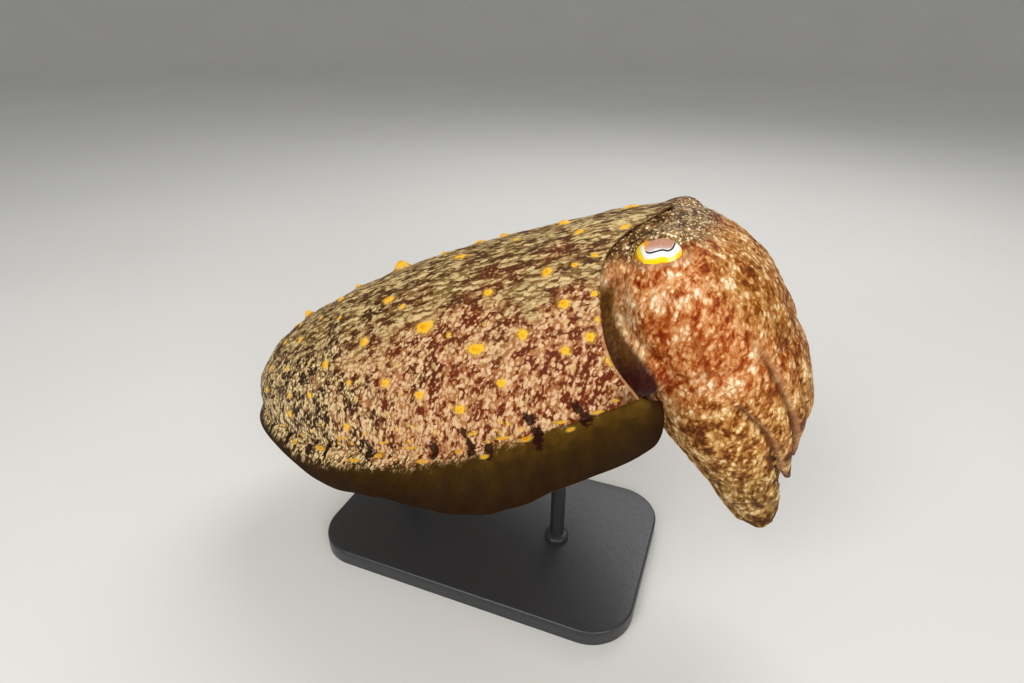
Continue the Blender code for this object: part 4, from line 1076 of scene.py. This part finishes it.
class Finish:
    # one material, with short ways to add its nodes
    def __init__(self, name, roughness=0.5, shine=0.5, **fixed):
        self.material = bpy.data.materials.new(name)
        self.material.use_nodes = True
        self.nodes = self.material.node_tree.nodes
        self.links = self.material.node_tree.links
        self.shader = self.nodes["Principled BSDF"]
        self.shader.inputs["Roughness"].default_value = roughness
        self.shader.inputs["Specular IOR Level"].default_value = shine
        for label, value in fixed.items():
            self.shader.inputs[label].default_value = value

    def put(self, value, socket):
        if isinstance(value, bpy.types.NodeSocket):
            self.links.new(value, socket)
        else:
            socket.default_value = value

    def add(self, kind, inputs=(), output=0, **settings):
        made = self.nodes.new(kind)
        for label, value in settings.items():
            setattr(made, label, value)
        for label, value in dict(inputs).items():
            self.put(value, made.inputs[label])
        return made.outputs[output]

    def body(self):
        # the animal's own frame in mm, from the object's coordinates
        a = math.radians(pose["pitchDegrees"])
        x, _, z = pose["rearTip"]
        shift = (-1000 * (x * math.cos(a) + z * math.sin(a)), 0.0, -1000 * (z * math.cos(a) - x * math.sin(a)))
        place = self.add("ShaderNodeTexCoord", output="Object")
        return self.add("ShaderNodeMapping", {"Vector": place, "Location": shift, "Rotation": (0, a, 0),
                                              "Scale": (1000, 1000, 1000)})

    def marks(self, name):
        # the three values of one of the piece's own attributes
        return self.split(self.add("ShaderNodeAttribute", output="Vector", attribute_name=name))

    def split(self, vector):
        split = self.nodes.new("ShaderNodeSeparateXYZ")
        self.links.new(vector, split.inputs[0])
        return split.outputs

    def drawn(self, vector, degrees, squash):
        # coordinates for a pattern drawn out along a direction that rises so many degrees towards the back
        turned = self.add("ShaderNodeMapping", {"Vector": vector, "Rotation": (0, math.radians(degrees), 0)})
        return self.add("ShaderNodeVectorMath", {0: turned, 1: (squash, 1.0, 1.0)}, operation="MULTIPLY")

    def noise(self, vector, scale, detail=2.0, rough=0.5):
        return self.add("ShaderNodeTexNoise", {"Vector": vector, "Scale": scale, "Detail": detail,
                                               "Roughness": rough}, "Fac")

    def cells(self, vector, scale):
        # distance from the middle of the nearest of many scattered spots, and a number of that spot's own
        made = self.nodes.new("ShaderNodeTexVoronoi")
        self.put(vector, made.inputs["Vector"])
        self.put(scale, made.inputs["Scale"])
        return made.outputs["Distance"], self.split(made.outputs["Color"])[0]

    def warp(self, vector, scale, amount):
        # moves a pattern's coordinates about by noise, so that its shapes turn uneven
        colour = self.add("ShaderNodeTexNoise", {"Vector": vector, "Scale": scale, "Detail": 2.0}, "Color")
        centred = self.add("ShaderNodeVectorMath", {0: colour, 1: (0.5, 0.5, 0.5)}, operation="SUBTRACT")
        moved = self.add("ShaderNodeVectorMath", {0: centred, 1: (2 * amount,) * 3}, operation="MULTIPLY")
        return self.add("ShaderNodeVectorMath", {0: vector, 1: moved}, operation="ADD")

    def about(self, value, amount, middle=0.5):
        # a value turned into a swing round nought
        return self.math("MULTIPLY", self.math("SUBTRACT", value, middle), amount)

    def chain(self, how, values):
        result = values[0]
        for value in values[1:]:
            result = self.math(how, result, value)
        return result

    def total(self, *values):
        return self.chain("ADD", values)

    def product(self, *values):
        return self.chain("MULTIPLY", values)

    def between(self, share, first, second):
        return self.add("ShaderNodeMix", {0: share, 2: first, 3: second})

    def shades(self, value, colours):
        # runs a value from 0 to 1 through even steps of colour
        made = self.nodes.new("ShaderNodeValToRGB")
        self.put(value, made.inputs[0])
        stops = made.color_ramp.elements
        stops[0].color, stops[-1].color = tone(*colours[0]), tone(*colours[-1])
        for k in range(1, len(colours) - 1):
            stops.new(k / (len(colours) - 1)).color = tone(*colours[k])
        return made.outputs[0]

    def math(self, how, first, second):
        return self.add("ShaderNodeMath", {0: first, 1: second}, operation=how)

    def step(self, value, low, high, start=0.0, end=1.0):
        # runs smoothly from start to end while the value goes from low to high
        return self.add("ShaderNodeMapRange", {"Value": value, "From Min": low, "From Max": high, "To Min": start,
                                               "To Max": end}, interpolation_type="SMOOTHSTEP")

    def mix(self, share, first, second):
        made = self.nodes.new("ShaderNodeMix")
        made.data_type = "RGBA"
        self.put(share, made.inputs[0])
        self.put(first, made.inputs[6])
        self.put(second, made.inputs[7])
        return made.outputs[2]

    def bump(self, height, distance):
        return self.add("ShaderNodeBump", {"Height": height, "Distance": distance})

    def finish(self, colour, normal=None, roughness=None):
        self.put(colour, self.shader.inputs["Base Color"])
        if normal is not None:
            self.put(normal, self.shader.inputs["Normal"])
        if roughness is not None:
            self.put(roughness, self.shader.inputs["Roughness"])
        return self.material


# screen colours from the darkest to the palest, by place
skinTones = {
    "rearGround": ((22, 6, 1), (52, 24, 8), (112, 78, 46), (142, 110, 72)),
    "frontGround": ((74, 18, 1), (112, 46, 10), (150, 92, 50), (172, 122, 76)),
    "topGround": ((56, 30, 8), (86, 56, 24), (112, 82, 42), (128, 98, 56)),
    "rearSpot": ((160, 130, 86), (198, 170, 118), (226, 206, 152)),
    "frontSpot": ((172, 122, 80), (198, 154, 110), (218, 184, 142)),
    "topSpot": ((136, 108, 62), (176, 148, 96), (210, 186, 132)),
    "cheek": ((118, 34, 1), (158, 74, 18), (194, 126, 70), (220, 168, 116), (244, 222, 190)),
    "face": ((90, 36, 1), (128, 66, 6), (170, 110, 46), (204, 154, 92), (234, 210, 168)),
    "crown": ((34, 18, 4), (92, 60, 24), (148, 114, 64), (194, 164, 112), (248, 236, 206)),
    # the nape's tones are lifted paler and warmer as painted light, making up for the shade under the mantle's edge;
    # its mottle is the skin's own
    "nape": ((110, 54, 22), (158, 102, 56), (200, 148, 96), (228, 186, 134), (250, 228, 186)),
    "arm": ((78, 32, 1), (116, 60, 6), (168, 110, 46), (210, 164, 98), (238, 212, 160)),
    "armLow": ((64, 30, 1), (98, 58, 6), (148, 108, 50), (192, 156, 94), (226, 202, 150)),
    "membrane": ((88, 62, 12), (56, 36, 4), (44, 25, 2), (32, 16, 1)),
    "belly": ((150, 122, 88), (206, 188, 158), (232, 220, 196)),
    "innerArm": ((74, 44, 18), (120, 82, 48), (160, 122, 84)),
}
# screen colours of the marks: mantle and fins, head and arms, eyes, then the inner parts and the stand
inks = {
    "dotRing": (214, 184, 118), "dotMiddle": (222, 164, 44), "blotchRear": (22, 8, 4), "blotchFront": (36, 8, 2),
    "dashHalo": (176, 158, 84), "dash": (226, 160, 26), "dashMiddle": (206, 112, 8), "papillaHalo": (214, 170, 96),
    # the corner tone is painted shade
    "papilla": (238, 180, 30), "papillaTop": (220, 130, 8), "glint": (122, 96, 220), "cornerShade": (74, 44, 12),
    # the low lining tone is partly painted shade inside the mantle's edge
    "edgeRim": (176, 124, 78), "liningDark": (96, 66, 30), "liningPale": (160, 132, 84), "liningLowShade": (50, 20, 5),
    "finUnderRoot": (150, 128, 84), "finUnderRim": (84, 62, 26),
    "eyeFold": (240, 214, 178), "lidRim": (200, 150, 112), "webDark": (150, 92, 46), "webPale": (208, 158, 114),
    # the cheek fold and crease tones are painted shade in those grooves
    "cheekFold": (120, 58, 16), "keel": (222, 160, 58), "crease": (78, 36, 4), "throat": (92, 54, 8),
    # the throat tones are the neck's own olive-brown and maroon, darkened lower down as painted shade under the
    # mantle's edge
    "throatLowShade": (46, 8, 1), "throatStreak": (116, 76, 22), "throatStreakLowShade": (66, 20, 5),
    "eyeWhiteShade": (214, 216, 214), "eyeWhite": (252, 252, 248), "eyeYellow": (240, 224, 10),
    "eyeYellowDeep": (250, 200, 0), "eyeOrange": (206, 138, 20), "flapTop": (196, 188, 180),
    # the flap's near-white edge line is a painted highlight
    "flapDark": (158, 104, 76), "flapPale": (200, 152, 124), "flapRear": (236, 146, 12), "flapEdgeHighlight": (236, 236, 234),
    "browDark": (112, 82, 50), "browPale": (184, 150, 112), "pupil": (10, 8, 8), "eyeBack": (40, 30, 24),
    "suckerDark": (214, 190, 170), "suckerPale": (232, 216, 200), "suckerInside": (120, 84, 66),
    "mouthDark": (190, 150, 126), "mouthPale": (222, 194, 170), "beakDark": (26, 16, 10), "beakPale": (52, 32, 20),
    "funnelDark": (84, 36, 18), "funnelPale": (132, 84, 50), "standDark": (34, 34, 36), "standPale": (46, 46, 49),
}
inks = {name: tone(*colour) for name, colour in inks.items()}


# noise as scale per mm, detail and roughness; warp as scale and mm; the last two by flank, shoulder and top: degrees
# the pattern rises towards the back, its share of width along it, and for spots their scale per mm
flank = {
    "warp": (0.30, 1.2), "patch": (0.045, 3.0, 0.55), "speck": (1.5, 2.0, 0.6), "rough": (0.62, 2.0, 0.6),
    "cluster": (0.25, 4.0, 0.62), "dots": 0.115, "glints": 0.21, "topFrom": (0.56, 0.96), "shoulderFrom": (0.28, 0.60),
    "frontFrom": (0.34, 0.66), "dotPicked": (0.42, 0.46), "glintPicked": (0.52, 0.54),
    "clusters": ((58, 0.55), (28, 0.5), (5, 0.28)),
    "spots": ((58, 0.50, 0.58), (40, 0.66, 0.56), (5, 0.28, 0.56)),
}


def flankPattern(f, body, along, height):
    # pale spots on a mottled ground that turns dark in patches; spots and streaks follow the back, are stretched
    # behind and rounder in front
    def byHeight(values):
        return f.between(top, f.between(shoulder, values[0], values[1]), values[2])

    warped = f.warp(body, *flank["warp"])
    patch = f.noise(body, *flank["patch"])
    speck = f.noise(body, *flank["speck"])
    uneven = f.total(height, f.about(patch, 0.9))
    top = f.step(uneven, *flank["topFrom"])
    shoulder = f.step(uneven, *flank["shoulderFrom"])
    front = f.step(f.total(along, f.about(patch, 0.9)), *flank["frontFrom"])
    cluster = byHeight([f.noise(f.drawn(warped, degrees, squash), *flank["cluster"])
                        for degrees, squash in flank["clusters"]])
    pairs = [f.cells(f.drawn(warped, degrees, squash), size) for degrees, squash, size in flank["spots"]]
    away, tint = byHeight([pair[0] for pair in pairs]), byHeight([pair[1] for pair in pairs])
    rough = f.about(f.noise(warped, *flank["rough"]), 0.7)
    middle = f.product(f.step(along, 0.30, 0.50), f.step(along, 0.86, 0.66), 0.012)
    level = f.total(cluster, f.product(rough, 0.20), f.about(patch, 0.30), middle)
    bright = f.step(level, 0.450, 0.530)
    spot = f.step(f.total(away, f.product(rough, 0.7), f.about(tint, 0.26), f.product(bright, -0.22)), 0.50, 0.17)
    ground = f.total(f.product(bright, 0.62), f.about(speck, 0.35), f.product(rough, -0.5), 0.16)
    lit = f.total(0.02, f.product(bright, 0.36), f.about(tint, -0.6), f.about(speck, 0.6), f.product(spot, 0.30))
    sets = [f.mix(spot, f.shades(ground, skinTones[name + "Ground"]), f.shades(lit, skinTones[name + "Spot"]))
            for name in ("rear", "front", "top")]
    colour = f.mix(top, f.mix(front, sets[0], sets[1]), sets[2])
    value = f.total(f.product(spot, 0.6), f.product(bright, 0.3))
    # scattered yellow dots with a paler ring
    dotAway, dotTint = f.cells(warped, flank["dots"])
    chosen = f.product(f.step(dotTint, *flank["dotPicked"]), f.math("SUBTRACT", 1.0, f.product(top, 0.7)))
    colour = f.mix(f.product(chosen, f.step(dotAway, 0.24, 0.16), 0.5), colour, inks["dotRing"])
    colour = f.mix(f.product(chosen, f.step(dotAway, 0.12, 0.08), 0.8), colour, inks["dotMiddle"])
    return colour, value, front


def addBlotches(f, body, colour, blotch, front):
    # dark blotches with a ragged edge, browner in front
    edge = f.total(blotch, f.about(f.noise(body, 0.5, 3.0, 0.6), 2.2))
    share = f.step(edge, 1.25, 0.95)
    return f.mix(f.product(share, 0.95), colour, f.mix(front, inks["blotchRear"], inks["blotchFront"]))


def addDash(f, colour, distance):
    # an orange dash with a deeper middle and a faint yellow halo
    colour = f.mix(f.product(f.step(distance, 1.5, 1.2), 0.5), colour, inks["dashHalo"])
    colour = f.mix(f.step(distance, 1.12, 0.9), colour, inks["dash"])
    return f.mix(f.product(f.step(distance, 0.7, 0.3), 0.7), colour, inks["dashMiddle"])


def skinBump(f, body, value, share, depth):
    # the pale spots stand up a little over a finely uneven skin
    return f.bump(f.total(f.product(value, share), f.noise(body, 1.7, 2.0, 0.6)), depth)


def mantleFinish():
    f = Finish("mantlePattern", 0.55, 0.12)
    body = f.body()
    along, height, inside = f.marks("place")
    papilla, dash, blotch = (f.product(part, stampReach) for part in f.marks("marks"))
    colour, value, front = flankPattern(f, body, along, height)
    belly = f.step(height, -0.12, -0.36)
    pale = f.shades(f.between(0.6, value, 0.6), skinTones["belly"])
    colour = f.mix(f.product(belly, 0.92), colour, pale)
    colour = addBlotches(f, body, colour, blotch, front)
    wobble = f.about(f.noise(body, 0.8, 2.0, 0.6), 1.5)
    papillaEdge, dashEdge = f.total(papilla, wobble), f.total(dash, f.product(wobble, 0.5))
    colour = f.mix(f.product(f.step(papillaEdge, 1.9, 1.1), 0.4), colour, inks["papillaHalo"])
    colour = f.mix(f.step(papillaEdge, 1.12, 0.88), colour, inks["papilla"])
    colour = f.mix(f.product(f.step(papillaEdge, 0.62, 0.25), 0.8), colour, inks["papillaTop"])
    colour = addDash(f, colour, dashEdge)
    # a few violet glints low in front
    glintAway, glintTint = f.cells(body, flank["glints"])
    glint = f.product(f.step(glintAway, 0.13, 0.09), f.step(glintTint, *flank["glintPicked"]), front,
                      f.step(height, 0.13, 0.06), f.step(height, -0.10, -0.04))
    colour = f.mix(glint, colour, inks["glint"])
    # painted shade: the front lower corner, where the fin starts, is darkened like the fin
    corner = f.product(f.step(f.total(along, f.about(value, 0.03)), 0.955, 0.99), f.step(height, 0.22, 0.02))
    colour = f.mix(f.product(corner, 0.9), colour, inks["cornerShade"])
    low = f.step(height, 0.70, 0.45)
    colour = f.mix(f.product(f.step(along, 0.9965, 0.9990), low, 0.7), colour, inks["edgeRim"])
    # inside the lip and wall: olive-brown lining on the nape side and dark maroon elsewhere, partly the lining's own
    # colour and partly painted shade of the recess
    colour = f.mix(inside, colour, f.mix(low, f.mix(f.step(value, 0.3, 0.6), inks["liningDark"], inks["liningPale"]),
                                         inks["liningLowShade"]))
    return f.finish(colour, skinBump(f, body, value, 0.5, 0.22 * mm))


# noise as scale per mm, detail and roughness; drawn as degrees towards the back and share of width; the places are
# in mm in the animal's frame
face = {
    "warp": (0.30, 1.3), "patch": (0.045, 3.0, 0.5), "speck": (1.3, 2.0, 0.6), "blot": (0.14, 3.0, 0.6),
    "streak": (0.60, 3.0, 0.62), "spots": 0.39, "dots": 0.62, "dotPicked": (0.12, 0.22),
    "blotDrawn": (66, 0.55), "streakDrawn": (64, 0.42), "spotDrawn": (62, 0.62),
    "foreFrom": (358, 376), "armFrom": (-6, -40), "armLowFrom": (-52, -98), "crownFrom": (50, 59),
    "napeFrom": (318, 308), "napeAbove": (-14, 6), "throatShadeBelow": (24, -4), "foldsBelow": (44, 36),
    "rimBelow": (57, 52),
}


def headFinish():
    f = Finish("headPattern", 0.52, 0.13)
    body = f.body()
    x, _, z = f.split(body)
    crease, keel, inner = f.marks("marks")
    eyeRatio, angle, neckShadeShare = f.marks("place")
    web, cheekFold, _ = f.marks("folds")
    warped = f.warp(body, *face["warp"])
    patch = f.noise(body, *face["patch"])
    blot = f.noise(f.drawn(body, *face["blotDrawn"]), *face["blot"])
    streak = f.noise(f.drawn(warped, *face["streakDrawn"]), *face["streak"])
    spotAway, spotTint = f.cells(f.drawn(warped, *face["spotDrawn"]), face["spots"])
    spot = f.step(f.total(spotAway, f.about(spotTint, 0.5)), 0.62, 0.05)
    speck = f.noise(body, *face["speck"])
    value = f.total(0.54, f.about(streak, 1.35), f.about(spot, 0.42, 0.42), f.about(blot, 1.9), f.about(patch, 0.9),
                    f.about(speck, 0.4))
    fore = f.step(f.total(x, f.about(patch, 34), f.product(z, 0.35)), *face["foreFrom"])
    arm = f.step(f.total(z, f.about(patch, 40)), *face["armFrom"])
    low = f.step(z, *face["armLowFrom"])
    crown = f.step(f.total(z, f.about(blot, 22)), *face["crownFrom"])
    nape = f.product(f.step(f.total(x, f.about(patch, 10)), *face["napeFrom"]), f.step(z, *face["napeAbove"]))
    colour = f.mix(fore, f.shades(value, skinTones["cheek"]), f.shades(value, skinTones["face"]))
    colour = f.mix(arm, colour, f.mix(low, f.shades(value, skinTones["arm"]), f.shades(value, skinTones["armLow"])))
    # the nape behind the eye: the skin's own mottle, in tones lifted paler as painted light against the shade under
    # the mantle's edge
    colour = f.mix(nape, colour, f.shades(value, skinTones["nape"]))
    # crowded fine pale dots on the crown
    dotAway, dotTint = f.cells(warped, face["dots"])
    dots = f.product(f.step(dotAway, 0.44, 0.27), f.step(dotTint, *face["dotPicked"]))
    dotted = f.total(f.product(value, 0.66), f.product(dots, 0.52))
    colour = f.mix(crown, colour, f.shades(dotted, skinTones["crown"]))
    # pale folds that run down from the eye
    drawnDown = f.add("ShaderNodeCombineXYZ", {0: f.product(angle, 120.0), 1: 0.0, 2: f.product(z, 0.2)})
    folds = f.noise(drawnDown, 0.6)
    under = f.product(f.step(eyeRatio, 0.42, 0.20), f.step(z, *face["foldsBelow"]), f.step(eyeRatio, 0.118, 0.135))
    colour = f.mix(f.product(under, f.step(folds, 0.50, 0.64), 0.42), colour, inks["eyeFold"])
    colour = f.mix(f.product(f.step(eyeRatio, 0.15, 0.12), f.step(z, *face["rimBelow"]), 0.4), colour, inks["lidRim"])
    colour = f.mix(f.product(web, 0.6), colour, f.mix(streak, inks["webDark"], inks["webPale"]))
    # painted shade in the cheek fold's groove
    colour = f.mix(f.product(cheekFold, 0.4), colour, inks["cheekFold"])
    colour = f.mix(f.product(keel, keel, keel), colour, inks["keel"])
    # painted shade in the creases between the arms
    colour = f.mix(f.product(crease, 0.8), colour, inks["crease"])
    colour = f.mix(inner, colour, f.shades(value, skinTones["innerArm"]))
    # the neck inside the mantle's edge: streaked olive-brown going to dark maroon lower down, partly its own colour
    # and partly painted shade under the mantle's edge
    throat = f.mix(f.step(f.total(z, f.about(patch, 20)), *face["throatShadeBelow"]), inks["throat"], inks["throatLowShade"])
    throatStreak = f.mix(f.step(z, *face["throatShadeBelow"]), inks["throatStreak"], inks["throatStreakLowShade"])
    throat = f.mix(f.step(streak, 0.46, 0.60), throat, throatStreak)
    colour = f.mix(neckShadeShare, colour, throat)
    return f.finish(colour, skinBump(f, body, value, 0.6, 0.25 * mm))


def finFinish():
    # the mantle's pattern runs a little way out on the fin, then a smooth dark olive membrane takes over
    f = Finish("finMembrane", 0.6, 0.06, **{"Subsurface Weight": 0.1, "Subsurface Scale": 2 * mm})
    body = f.body()
    along, share, upper = f.marks("place")
    blotch, run, dash = f.marks("marks")
    pattern, value, front = flankPattern(f, body, along, 0.0)
    mottled = f.noise(body, 0.10, 3.0, 0.6)
    membrane = f.shades(f.total(share, f.about(mottled, 0.9)), skinTones["membrane"])
    # how far out the pattern reaches, in mm, along the fin
    reach = f.total(f.step(along, 0.02, 0.30, 0.5, 7.5), f.step(along, 0.45, 0.88, 0.0, -10.5),
                    f.step(along, 0.89, 0.94, 0.0, -14.0))
    border = f.total(f.product(run, fins["width"] / mm), f.about(mottled, 11.0), f.product(reach, -1.0),
                     f.product(value, -3.0))
    colour = f.mix(f.step(border, -4.0, 2.0), pattern, membrane)
    colour = addBlotches(f, body, colour, f.product(blotch, stampReach), front)
    colour = f.mix(f.product(upper, 0.85), colour, addDash(f, colour, f.product(dash, stampReach)))
    colour = f.mix(upper, f.mix(f.step(share, 0.2, 0.9), inks["finUnderRoot"], inks["finUnderRim"]), colour)
    rays = f.noise(f.add("ShaderNodeVectorMath", {0: body, 1: (1.0, 0.12, 0.12)}, operation="MULTIPLY"), 0.9, 2.0, 0.5)
    return f.finish(colour, f.bump(rays, 0.15 * mm))


def eyeFinish():
    f = Finish("eyeSurface", 0.16, **{"Coat Weight": 0.5, "Coat Roughness": 0.08})
    signed, slit, front = f.marks("marks")
    across, up, _ = f.marks("place")
    body = f.body()
    mottled = f.noise(body, 0.8, 3.0, 0.6)
    distance = f.total(f.about(signed, iris["markSpan"]), f.about(mottled, 0.8),
                       f.step(across, 0.26, 0.16, 0.0, 1.4))
    white = f.mix(mottled, inks["eyeWhiteShade"], inks["eyeWhite"])
    colour = f.mix(f.step(distance, 2.5, 3.3), white, f.mix(mottled, inks["eyeYellow"], inks["eyeYellowDeep"]))
    colour = f.mix(f.step(distance, 4.8, 6.0), colour, inks["eyeOrange"])
    flap = f.mix(f.step(up, 0.44, 0.60), inks["flapTop"], f.mix(mottled, inks["flapDark"], inks["flapPale"]))
    flap = f.mix(f.step(f.total(across, f.about(mottled, 0.12)), 0.36, 0.24), flap, inks["flapRear"])
    # painted highlight: a thin near-white line along the flap's lower edge, over the slit
    flap = f.mix(f.product(f.step(distance, -0.9, -0.3), 0.8), flap, inks["flapEdgeHighlight"])
    browSkin = f.mix(f.noise(body, 1.1, 3.0, 0.7), inks["browDark"], inks["browPale"])
    colour = f.mix(f.step(distance, 0.1, -0.2), colour, flap)
    colour = f.mix(f.product(f.step(f.total(up, f.about(mottled, 0.10)), 0.78, 0.86), 0.7), colour, browSkin)
    colour = f.mix(f.step(slit, 0.35, 0.62), colour, inks["pupil"])
    colour = f.mix(front, inks["eyeBack"], colour)
    return f.finish(colour)


def fleshFinish(name, first, second):
    f = Finish(name, 0.45)
    body = f.body()
    mottled = f.noise(body, 0.25, 3.0, 0.6)
    colour = f.mix(mottled, first, second)
    return f.finish(colour, f.bump(f.noise(body, 1.5), 0.2 * mm))


def suckerFinish():
    f = Finish("suckerCups", 0.4)
    depth = f.marks("place")[0]
    colour = f.mix(f.noise(f.body(), 0.3), inks["suckerDark"], inks["suckerPale"])
    colour = f.mix(f.step(depth, 0.78, 1.0), colour, inks["suckerInside"])
    return f.finish(colour)


def standFinish():
    f = Finish("standSatin", 0.4)
    place = f.add("ShaderNodeTexCoord", output="Object")
    grain = f.noise(place, 900.0, 2.0, 0.6)
    colour = f.mix(grain, inks["standDark"], inks["standPale"])
    return f.finish(colour, f.bump(grain, 0.05 * mm), f.step(grain, 0.3, 0.7, 0.34, 0.48))


def dress(piece, material, slot, *nodes):
    piece.data.materials.clear()
    piece.data.materials.append(material)
    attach(piece, "root")
    if nodes:
        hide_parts(*nodes)


skinMaterial, headMaterial, finMaterial = mantleFinish(), headFinish(), finFinish()
armNodes = ["arm_%d_%s" % (k, side) for k in (1, 2, 3, 4) for side in ("left", "right")]
dress(mantleSkin, skinMaterial, "skin", "mantle")
dress(headSkin, headMaterial, "skin", "head", "neck", *armNodes)
for side, word in ((-1, "right"), (1, "left")):
    finNodes = ["fin_%s_%s" % (part, word) for part in ("rear", "middle", "front")]
    dress(finPieces[side], finMaterial, "fin_skin", *finNodes)
    dress(eyePieces[side], eyeFinish(), "eye", "eye_" + word)
dress(suckerPiece, suckerFinish(), "skin")
dress(mouthRing, fleshFinish("mouthFlesh", inks["mouthDark"], inks["mouthPale"]), "skin", "mouth")
dress(beak, fleshFinish("beakHorn", inks["beakDark"], inks["beakPale"]), "skin")
dress(funnelSkin, fleshFinish("funnelFlesh", inks["funnelDark"], inks["funnelPale"]), "skin", "funnel")
standMaterial = standFinish()
dress(standBase, standMaterial, "stand_finish", "stand_base")
dress(rods["standRodRear"], standMaterial, "stand_finish", "stand_rod_rear")
dress(rods["standRodFront"], standMaterial, "stand_finish", "stand_rod_front")
print("finishes set")

# Studio
studio = {
    "floorRadius": 4.5, "coveRadius": 2.0, "coveTop": 3.6, "floorLow": -0.0002, "columns": 96,
    "floor": ((206, 204, 199), (214, 212, 207)), "sky": (0.96, 0.98, 1.0), "skyStrength": 0.45,
    # place, aim, size in m and power in W of each soft light
    "lights": (((-0.35, -1.35, 1.25), (0.02, 0.0, 0.16), 1.0, 19.5),
               ((1.05, -1.0, 0.85), (0.08, 0.0, 0.16), 0.9, 11.0),
               ((0.1, 1.0, 1.4), (0.0, 0.0, 0.16), 1.2, 13.0)),
    "viewTransform": "Standard",
}


def buildFloor():
    # a disc whose rim sweeps up in a quarter circle and ends in a low wall
    s = studio
    sweep = np.linspace(0, np.pi / 2, 13)
    outward = s["floorRadius"] + s["coveRadius"] * np.sin(sweep)
    radius = np.concatenate([[0.5, 2.0], outward, outward[-1:]])
    height = np.concatenate([[0.0, 0.0], s["coveRadius"] * (1 - np.cos(sweep)), [s["coveTop"]]])
    turn = np.linspace(0, 2 * np.pi, s["columns"], endpoint=False)
    grid = np.stack([radius[:, None] * np.cos(turn), radius[:, None] * np.sin(turn),
                     height[:, None] + 0 * turn + s["floorLow"]], -1)
    faces = tubeFaces(len(radius), s["columns"], True, False)[:-1]     # without the flat face over the top
    mesh = bpy.data.meshes.new("floor")
    mesh.from_pydata(grid.reshape(-1, 3).tolist() + [(0.0, 0.0, s["floorLow"])], [], faces)
    bm = bmesh.new()
    bm.from_mesh(mesh)
    bmesh.ops.reverse_faces(bm, faces=[face for face in bm.faces if face.normal.z < 0])
    bm.to_mesh(mesh)
    bm.free()
    return linkPiece("floor", mesh)


floor = buildFloor()
floorFinish = Finish("floorPaint", 0.8)
floorGrain = floorFinish.noise(floorFinish.add("ShaderNodeTexCoord", output="Object"), 3.0)
floorTones = [tone(*colour) for colour in studio["floor"]]
floor.data.materials.append(floorFinish.finish(floorFinish.mix(floorGrain, *floorTones)))
for k, (place, aim, size, power) in enumerate(studio["lights"]):
    lamp = bpy.data.lights.new("soft%d" % k, "AREA")
    lamp.shape = "DISK"
    lamp.size = size
    lamp.energy = power
    holder = bpy.data.objects.new("soft%d" % k, lamp)
    bpy.context.scene.collection.objects.link(holder)
    holder.location = place
    holder.rotation_mode = "QUATERNION"
    holder.rotation_quaternion = (Vector(aim) - Vector(place)).to_track_quat("-Z", "Y")
world = bpy.data.worlds.new("studio")
bpy.context.scene.world = world
world.use_nodes = True
background = world.node_tree.nodes["Background"]
background.inputs["Color"].default_value = (*studio["sky"], 1.0)
background.inputs["Strength"].default_value = studio["skyStrength"]
bpy.context.scene.view_settings.view_transform = studio["viewTransform"]
print("studio lit")
